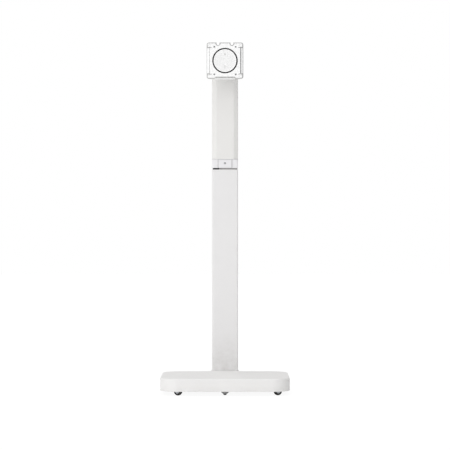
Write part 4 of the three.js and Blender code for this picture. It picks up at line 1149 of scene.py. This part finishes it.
def hub_cap():
    """A shallow dish with a rounded rim, its two screws, and the dark ring round it."""
    cad = Box("hub_cap")
    radius, front, back = cad.x1, cad.y0, cad.y1
    floor = front + 0.45
    points = profile([(0, back), (radius - 0.7, back, 0.3), (radius, back - 0.6, 0.3),
                      (radius, front + 0.5, 0.35), (radius - 0.7, front, 0.45),
                      (radius - 2.5, front, 0.5), (radius - 3.3, floor, 0.3), (0, floor)])
    # the rim takes the second, whiter finish: a painted highlight on the rim
    slots = [int(i > 2 and min(points[i][0], points[i + 1][0]) > radius - 3.5)
             for i in range(len(points) - 1)]
    dish = turn(points, 96, "Y", (0, 0, HEAD_Z), slots)
    screws = (("top", 20), ("bottom", -20))
    seat = [(0, 60), (6.4, 60), (6.2, front + 0.2), (4.2, front + 0.75), (3.6, front + 0.85),
            (3.6, front + 1.2), (2.0, front + 1.2), (2.0, 90), (0, 90)]
    seats = [turn(seat, 40, "Y", (0, 0, HEAD_Z + dz)) for _, dz in screws]
    add_part("hub_cap_dish", dish, ("hub", "plate"), "tilt", "hub_cap", sharp=30,
             tools=[("DIFFERENCE", seats)])
    for where, dz in screws:
        head = screw((0, front + 1.1, HEAD_Z + dz), (0, -1, 0), 3.3, 0.85, "cross", 1.7, 0.35,
                     shank=(1.7, 6.5), spin=0.5, dome=0.3)
        add_part(f"hub_screw_{where}_head", head, "screw_white", "tilt", f"hub_screw_{where}")

    inner, outer = 26.4, LINING.x1
    points = profile([(inner, LINING.y1), (outer, LINING.y1, 0.25), (outer, LINING.y0, 0.3),
                      (inner, LINING.y0, 0.2)], 3)
    ring = turn([(inner, LINING.y1)] + points[1:] + [(inner, LINING.y1)], 96, "Y", (0, 0, HEAD_Z))
    add_part("friction_ring_lining", ring, "ring", "tilt", "friction_ring")


def flared_cutter(outline, lip):
    """A cutter through the plate that leaves a rounded lip on its front face."""
    front = PLATE.y0
    stations = [(front - 2.0, lip * 2.4), (front - 0.02, lip * 1.12), (front + 0.10 * lip, lip * 0.9),
                (front + 0.8 * lip, lip * 0.2), (front + 0.92 * lip, lip * 0.07),
                (front + 1.1 * lip, 0.0), (PLATE.y1 + 3, 0.0)]
    return loft(levels(outline, [(y, -d) for y, d in stations], "Y"))


def side_grip_cutters(side):
    """A sloping face behind an upright groove, with short returns; side is -1 or 1."""
    front = PLATE.y0
    # distance from the middle, depth behind the front face
    slope = [(51.4, 0.35), (52.6, 0.75), (58.4, 4.8), (59.3, 5.7), (60.0, 7.2), (60.6, 8.6),
             (63, 8.6), (63, -3), (51.4, -3)]
    cutters = [prism([(side * x, front + y) for x, y in slope], (HEAD_Z - 43.6, HEAD_Z + 43.6))]

    def groove(xa, xb, z0, z1, depth):
        x0, x1 = sorted((side * xa, side * xb))
        return prism(rounded_box(x0, x1, z0, z1, 0.35, 2), (front - 1, front + depth), "Y",
                     ends=(0, 0.2), n=2)

    cutters.append(groove(50.2, 52.1, HEAD_Z - 44.3, HEAD_Z + 44.3, 5.4 if side > 0 else 2.6))
    for z0, z1 in ((HEAD_Z + 41.7, HEAD_Z + 44.1), (HEAD_Z - 45.4, HEAD_Z - 43.0)):
        cutters.append(groove(43.6, 51.0, z0, z1, 1.75))
        cutters.append(groove(50.6, 57.6, z0 + 0.35, z1 - 0.35, 5.2))
    return cutters


def mounting_plate():
    """A moulded tray with pockets behind, edge notches, side grips and screw holes."""
    half, front, back = PLATE.w / 2, PLATE.y0, PLATE.y1
    slope = 4.0  # width of the sloping edge round the front face
    tray = Solid()
    outer = tray.skin(levels(rounded_rect(2 * half, 2 * half, 8.0, 0, HEAD_Z, 12), [
        (front, slope + 0.9), (front + 0.05, slope + 0.35), (front + 0.22, slope - 0.05),
        (front + 0.5, slope - 0.4), (front + 3.1, 1.0), (front + 3.7, 0.45), (front + 4.3, 0.12),
        (front + 4.9, 0.0), (back - 0.45, 0.0), (back - 0.13, 0.13), (back, 0.45)], "Y"))
    radius = LINING.x1 + 0.4
    hole = tray.skin(circle_levels(0, HEAD_Z, [
        (front, radius + 0.5), (front + 0.12, radius + 0.15), (front + 0.5, radius),
        (front + 4.6, radius), (back, radius)], 96))
    tray.cap(outer[0], hole[0])
    tray.cap(outer[-1], hole[-1])

    # pockets in the back: a wide one, and a band above and below
    cutters = [prism(rounded_rect(width, height, 3.4, 0, HEAD_Z + dz, 6), (front + 2.5, back + 3),
                     "Y", ends=(0.5, 0), n=2)
               for width, height, dz in ((97, 115, 0), (115, 11.4, 51.8), (115, 11.4, -51.8))]
    # two U-shaped notches in the top edge and one wide notch in the bottom edge
    top, bottom = HEAD_Z + half, HEAD_Z - half
    for x in (-22.8, 22.8):
        notch = [(x - 5.6, top + 9), (x - 5.2, top - 1), (x - 5.0, top - 9.0, 4.6),
                 (x + 5.0, top - 9.0, 4.6), (x + 5.2, top - 1), (x + 5.6, top + 9)]
        cutters.append(flared_cutter(rounded(notch, 10), 3.0))
    notch = [(-37, bottom - 8), (37, bottom - 8), (33.0, bottom + 6.5, 1.8),
             (-33.0, bottom + 6.5, 1.8)]
    cutters.append(flared_cutter(rounded(notch, 5), 0.9))
    for side in (-1, 1):
        cutters += side_grip_cutters(side)
    seat = [(0, front - 2), (3.2, front - 2), (3.0, front - 0.01), (2.7, front + 0.3),
            (2.65, front + 1.3), (2.0, front + 1.3), (2.0, back + 2), (0, back + 2)]
    corner = [(0, front - 2), (3.3, front - 2), (3.0, front - 0.01), (2.5, front + 0.45),
              (2.5, back + 2), (0, back + 2)]
    hole_x, hole_z = PLATE_HOLES
    for x in (-1, 1):
        for z in (-1, 1):
            cutters.append(turn(seat, 28, "Y", (x * hole_x, 0, HEAD_Z + z * hole_z)))
            cutters.append(turn(corner, 28, "Y", (x * 50, 0, HEAD_Z + z * 50)))
    add_part("vesa_mounting_plate", tray, "plate", "plate", "mounting_plate", sharp=28,
             tools=[("DIFFERENCE", cutters)])

    places = [(x * hole_x, HEAD_Z + z * hole_z) for z in (1, -1) for x in (-1, 1)]
    for number, (x, z) in enumerate(places, 1):
        head = screw((x, front + 1.2, z), (0, -1, 0), 2.45, 1.0, "hex", 2.2, 0.7,
                     shank=(1.7, 5.7), spin=0.2 * number, dome=0.4)
        add_part(f"plate_screw_{number}_head", head, "screw_mid", "plate", f"plate_screw_{number}")


def lug(xa, xb, low, high, start):
    """A small block that stands out backwards from y = start."""
    x0, x1 = sorted((xa, xb))
    return prism(rounded_box(x0, x1, HEAD_Z + low, HEAD_Z + high, 0.9, 3), (start, 85.4), "Y",
                 ends=(0, 0.4), n=2)


def rotor_flange():
    """The backing plate behind the mounting plate, and the nuts on its screws."""
    cad = Box("rotor_flange")
    hole_x, hole_z = PLATE_HOLES
    corners = [(x * hole_x, HEAD_Z + z * hole_z) for x in (-1, 1) for z in (-1, 1)]
    holes = [circle(0, HEAD_Z, 26.4, 64)] + [circle(x, z, 2.05, 24) for x, z in corners]
    flange = prism(rounded_rect(cad.w, cad.h, 6, 0, HEAD_Z, 8), (75.7, 79.25), "Y",
                   ends=(0.5, 0.7), holes=holes, hole_end=0.4, n=2)
    boss = [(2.15, 74.9), (4.0, 74.9), (4.4, 75.2), (4.4, 76.3), (2.15, 76.3), (2.15, 74.9)]
    for x, z in corners:
        flange.add(turn(boss, 28, "Y", (x, 0, z)))
    for side in (-1, 1):
        flange.add(lug(side * 27.0, side * 35.0, -27, -24, 78))
    add_part("rotor_backing_plate", flange, "bracket", "plate", "rotor_flange", sharp=32)
    nuts = Solid()
    for x, z in corners:
        nuts.add(hex_nut((x, 79.28, z), (0, 1, 0), 5.5, 2.6, 1.75, spin=math.pi / 6))
    add_part("plate_screw_nuts", nuts, "zinc", "plate")


def latch():
    """The sliding latch bar with its lip."""
    front, back = Box("release_latch").y0, 82.15
    bar = prism(rounded_rect(63, 16, 3, 0, HEAD_Z - 49, 6), (79.75, back), "Y", ends=(0.5, 0.5),
                holes=[rounded_rect(34, 4, 1.9, 0, HEAD_Z - 46.5, 6)], hole_end=0.4, n=2)
    high, low = HEAD_Z - 54.5, HEAD_Z - 61.4
    lip = rounded([(front, high, 1.4), (front, low, 1.6), (back, low, 1.2), (back, high, 0.4)], 5)
    bar.add(prism(lip, (-32.3, 32.3), "X", ends=(0.8, 0.8)))
    for side in (-1, 1):
        bar.add(lug(side * 25.2, side * 33.8, -44, -41.2, 82.0))
    add_part("release_latch_bar", bar, "latch", "latch", "release_latch", sharp=32)


def latch_springs():
    turns, radius, wire_r, count = 6.0, 2.0, 0.36, 150
    margin = 0.35  # from the ends of the spring to the wire's centre
    closed, closed_rise = 0.12, 0.03  # share of the path, and of the height, in each closed end
    for side, x in (("left", -31.0), ("right", 31.0)):
        cad = Box("latch_spring_" + side)
        low, high = cad.z0 + margin, cad.z1 - margin
        rise = high - low
        path = []
        for i in range(count + 1):
            t = i / count
            if t < closed:
                z = low + rise * closed_rise * (t / closed)
            elif t > 1 - closed:
                z = high - rise * closed_rise * ((1 - t) / closed)
            else:
                z = low + rise * (closed_rise + 0.94 * (t - closed) / (1 - 2 * closed))
            angle = TAU * turns * t
            path.append((x + radius * math.cos(angle), 82.6 + radius * math.sin(angle), z))
        coil = build_object("latch_coil_" + side, wire(path, wire_r, 10), "spring", sharp=60)
        register(coil, "plate", "latch_spring_" + side, weighted=False)
        # a squashed piece carries no modifiers
        coil.modifiers.clear()
        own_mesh(coil)


# ------------------------------------------------------------------ casters and glide
# Each caster is drawn with its kingpin on Z and its wheel trailing along +X.
WHEEL_R, WHEEL_W, TRAIL = 13.0, 12.0, 10.0
FORK_INNER = WHEEL_W / 2 + 0.6
CASTER_TOP = CHASSIS_Z0 - 0.3


def caster_mount():
    """The top plate with its ball race, kingpin and four rivets."""
    top = CASTER_TOP
    mount = Solid().add(prism(rounded_rect(38, 32, 4, 0, 0, 6), (top - 2.0, top),
                              ends=(0.35, 0.35), n=2))
    mount.add(turn(profile([(0, 33.2), (10, 33.2, 0.5), (12, 34.4, 0.8), (12, top - 1.9),
                            (0, top - 1.9)])))
    mount.add(turn(profile([(0, 28), (3, 28, 0.5), (4.6, 28.8, 0.5), (4.6, 29.8, 0.3), (3, 29.8),
                            (3, 34), (0, 34)]), 32))
    rivet = profile([(0, top - 3.7), (1.6, top - 3.7, 0.7), (2.9, top - 2.6, 0.6),
                     (2.9, top - 1.95), (0, top - 1.95)], 3)
    for x in (-14.5, 14.5):
        for y in (-11.5, 11.5):
            mount.add(turn(rivet, 20, "Z", (x, y, 0)))
    return mount


def caster_fork():
    """A crown and disc with a cheek on each side of the wheel; returns its mesh."""
    cheek = rounded([
        (-8, 32.6, 1.2), (-8, 27.4, 3), (TRAIL - 6.0, WHEEL_R - 3.2, 4),
        (TRAIL - 2.5, WHEEL_R - 6.6, 3), (TRAIL + 3.2, WHEEL_R - 6.4, 5),
        (TRAIL + 6.7, WHEEL_R - 1.0, 5), (11.4, 32.6, 1.5)], 8)
    outside = FORK_INNER + 1.6
    cheeks = [prism(cheek, span, "Y", ends=ends, holes=[circle(TRAIL, WHEEL_R, 2.1, 20)],
                    hole_end=0.1, n=2)
              for span, ends in (((-outside, -FORK_INNER), (0.35, 0.2)),
                                 ((FORK_INNER, outside), (0.2, 0.35)))]
    edge = FORK_INNER + 1.5
    crown = prism(rounded_box(-8, 11, -edge, edge, 3, 5), (30.7, 32.7), ends=(0.3, 0.3),
                  holes=[circle(0, 0, 3.4, 24)], hole_end=0.1, n=2)
    disc = turn([(3.4, 30.6), (11.2, 30.6), (11.5, 30.9), (11.5, 32.5), (11.2, 32.8), (3.4, 32.8),
                 (3.4, 30.6)])
    master = build_object("fork_master", crown, "zinc", tools=[("UNION", [disc] + cheeks)])
    mesh = master.data.copy()
    bpy.data.objects.remove(master)
    return mesh


def caster_axle():
    end, rim, face = FORK_INNER + 2.9, FORK_INNER + 2.3, FORK_INNER + 1.75
    half = [(0, -end), (2.4, -end, 0.5), (3.2, -rim, 0.4), (3.2, -face), (1.9, -face)]
    return turn(profile(mirrored(half, 1), 3), 28, "Y", (TRAIL, 0, WHEEL_R))


def caster_wheel():
    """A tyre with a narrow groove round its middle, on a hub in the second finish."""
    side = -WHEEL_W / 2
    half = [(2.2, side), (4.6, side, 0.4), (5.2, side + 1.1, 0.5), (8.6, side + 1.1, 0.6),
            (9.2, side + 0.35, 0.5), (10.6, side + 0.3, 0.6), (12.3, side + 1.3, 1.2),
            (12.85, side + 3.2, 1.5), (12.98, -0.8, 0.3), (12.6, -0.45, 0.15)]
    points = profile(mirrored(half, 1))
    points.append(points[0])
    slots = [0 if (a[0] + b[0]) / 2 > 9.0 else 1 for a, b in zip(points, points[1:])]
    return turn(points, 64, "Y", (TRAIL, 0, WHEEL_R), slots)


def casters():
    mount, axle, wheel = caster_mount(), caster_axle(), caster_wheel()
    fork_mesh = caster_fork()
    to_metres = Matrix.Diagonal((MM, MM, MM, 1))
    to_mm = Matrix.Diagonal((1000, 1000, 1000, 1))
    for key in ("front_left", "front_right", "rear_left", "rear_right"):
        pivot, hub = joint_mm(f"caster_{key}_swivel"), joint_mm(f"wheel_{key}_spin")
        yaw = math.atan2(hub.y - pivot.y, hub.x - pivot.x)
        matrix = Matrix.Translation((pivot.x, pivot.y, 0)) @ Matrix.Rotation(yaw, 4, "Z")
        body = f"caster_{key}"
        add_part(body + "_top_plate", mount.moved(matrix), "zinc", "base", body + "_mount")
        mesh = fork_mesh.copy()
        mesh.transform(to_metres @ matrix @ to_mm)
        fork = bpy.data.objects.new(body + "_swivel_fork", mesh)
        SCENE.collection.objects.link(fork)
        register(fork, body, body + "_fork")
        add_part(body + "_axle_rivet", axle.moved(matrix), "zinc", body, body + "_axle")
        add_part(body + "_tyre", wheel.moved(matrix), ("wheel", "wheel_hub"), f"wheel_{key}",
                 body + "_wheel")


def glide_foot():
    """A plated body on its stem, a darker pad pressed in, and the locknut."""
    foot, locknut = Box("glide_foot"), Box("glide_locknut")
    at = (0, foot.cy, 0)
    body = turn(profile([
        (0, 5.2), (4.9, 5.2), (5.4, 6.0, 0.3), (8.4, 7.4, 1.5), (11.6, 10.6, 1.5),
        (12.2, 12.4, 0.8), (12.2, 15.0, 0.8), (6.2, 17.6, 1.2), (4.0, 18.2, 0.4),
        (4.0, foot.z1 - 0.6, 0.3), (3.4, foot.z1), (0, foot.z1)]), 48, "Z", at)
    pad = turn(profile([(0, foot.z0), (3.3, foot.z0 + 0.1, 1.0), (4.8, foot.z0 + 1.2, 1.0),
                        (5.1, 5.1, 0.3), (0, 5.1)]), 40, "Z", at)
    nut = hex_nut((0, foot.cy, locknut.z1), (0, 0, -1), 13.0, locknut.h, 4.1)
    add_part("glide_body", body, "glide", "glide", "glide_foot")
    add_part("glide_pad", pad, "pad", "glide")
    add_part("glide_lock_nut_hex", nut, "zinc", "base", "glide_locknut")


def finish_kept_nodes():
    """CAD pieces inside the column that keep their shape and get a finish and soft edges."""
    for node in ("column_foot", "spring_anchor"):
        ob = frame["nodes"][node]
        ob.data.materials.clear()
        ob.data.materials.append(MATERIALS["zinc"])
        edges = ob.modifiers.new("edges", "BEVEL")
        edges.width = 0.0004
        edges.segments = 2
        edges.limit_method = "ANGLE"
        edges.angle_limit = math.radians(40)
        normals = ob.modifiers.new("normals", "WEIGHTED_NORMAL")
        normals.keep_sharp = True


# ------------------------------------------------------------------ floor, light and camera
def floor():
    """A pale floor, nearly pure white to the camera and clear from below."""
    half = 14.0
    mesh = bpy.data.meshes.new("floor")
    mesh.from_pydata([(-half, -half, 0), (half, -half, 0), (half, half, 0), (-half, half, 0)],
                     [], [(0, 1, 2, 3)])
    ob = bpy.data.objects.new("floor", mesh)
    SCENE.collection.objects.link(ob)
    material = bpy.data.materials.new("pale_floor")
    graph = Graph(material)
    diffuse = graph.node("BsdfDiffuse", {"Color": (0.9, 0.9, 0.9, 1)})
    glow = graph.node("Emission", {"Strength": 0.14})
    lit = graph.node("AddShader", {0: diffuse.outputs[0], 1: glow.outputs[0]})
    white = graph.node("Emission", {"Color": (1, 1, 1, 1), "Strength": 1.03})
    rays = graph.node("LightPath")
    share = graph.math("MULTIPLY", rays.outputs["Is Camera Ray"], 0.9)
    above = graph.node("MixShader", {0: share, 1: lit.outputs[0], 2: white.outputs[0]})
    geometry = graph.node("NewGeometry")
    clear = graph.node("BsdfTransparent")
    both = graph.node("MixShader", {0: geometry.outputs["Backfacing"], 1: above.outputs[0],
                                    2: clear.outputs[0]})
    graph.node("OutputMaterial", {0: both.outputs[0]})
    mesh.materials.append(material)


def studio_world():
    """White to the camera; as light, brighter from the front and above, darker from the sides."""
    world = bpy.data.worlds.new("studio")
    SCENE.world = world
    graph = Graph(world)
    white = (1, 1, 1, 1)
    seen = graph.node("Background", {0: white, 1: 1.0})
    direction = graph.node("TexCoord").outputs["Generated"]
    brightest = Vector((-0.25, -0.83, 0.45)).normalized()
    dot = graph.node("VectorMath", {0: direction, 1: brightest}, operation="DOT_PRODUCT")
    general = graph.ramp(dot.outputs["Value"], -1.0, 1.0, 0.33, 0.625)
    toward = graph.xyz(direction)
    overhead = graph.ramp(toward["Z"], 0.25, 1.0, 0.0, 0.93)
    right_flag = graph.ramp(toward["X"], 0.12, 0.5, 0.0, -0.42)
    left_flag = graph.ramp(toward["X"], -0.5, -0.85, 0.0, -0.14)
    flags = graph.math("ADD", right_flag, left_flag)
    strength = graph.math("ADD", general, graph.math("ADD", overhead, flags))
    lighting = graph.node("Background", {0: white, 1: strength})
    rays = graph.node("LightPath")
    mixed = graph.node("MixShader", {0: rays.outputs["Is Camera Ray"], 1: lighting.outputs[0],
                                     2: seen.outputs[0]})
    graph.node("OutputWorld", {0: mixed.outputs[0]})


def area_light(name, location, target, size, power):
    data = bpy.data.lights.new(name, "AREA")
    data.shape = "RECTANGLE"
    data.size, data.size_y = size
    data.energy = power
    ob = bpy.data.objects.new(name, data)
    ob.location = location
    ob.rotation_mode = "QUATERNION"
    ob.rotation_quaternion = (Vector(location) - Vector(target)).to_track_quat("Z", "Y")
    SCENE.collection.objects.link(ob)


def camera():
    """A long lens, level, looking along +Y."""
    data = bpy.data.cameras.new("camera")
    ob = bpy.data.objects.new("camera", data)
    SCENE.collection.objects.link(ob)
    ob.location = (0.0, -5.99, 0.537)
    ob.rotation_euler = (math.radians(90), 0, 0)
    data.sensor_width = 36
    data.lens = 148.08
    data.clip_start, data.clip_end = 0.1, 60
    SCENE.camera = ob


base_cover()
chassis()
ballast_and_bolts()
column()
guide_bush()
collar()
height_lock()
mast()
gas_spring()
sleeve()
head_bracket()
swivel_yoke()
tilt_knuckle()
hub_cap()
mounting_plate()
rotor_flange()
latch()
latch_springs()
casters()
glide_foot()
finish_kept_nodes()

floor()
studio_world()
area_light("key", location=(-2.2, -3.4, 2.9), target=(0, 0.1, 0.55), size=(3.4, 3.4), power=27)
area_light("low_fill", location=(-2.3, -4.0, 0.5), target=(0, 0.1, 0.6), size=(2.4, 0.9), power=17)
camera()

SCENE.view_settings.view_transform = "Standard"
SCENE.view_settings.look = "None"
SCENE.view_settings.exposure = 0
SCENE.view_settings.gamma = 1
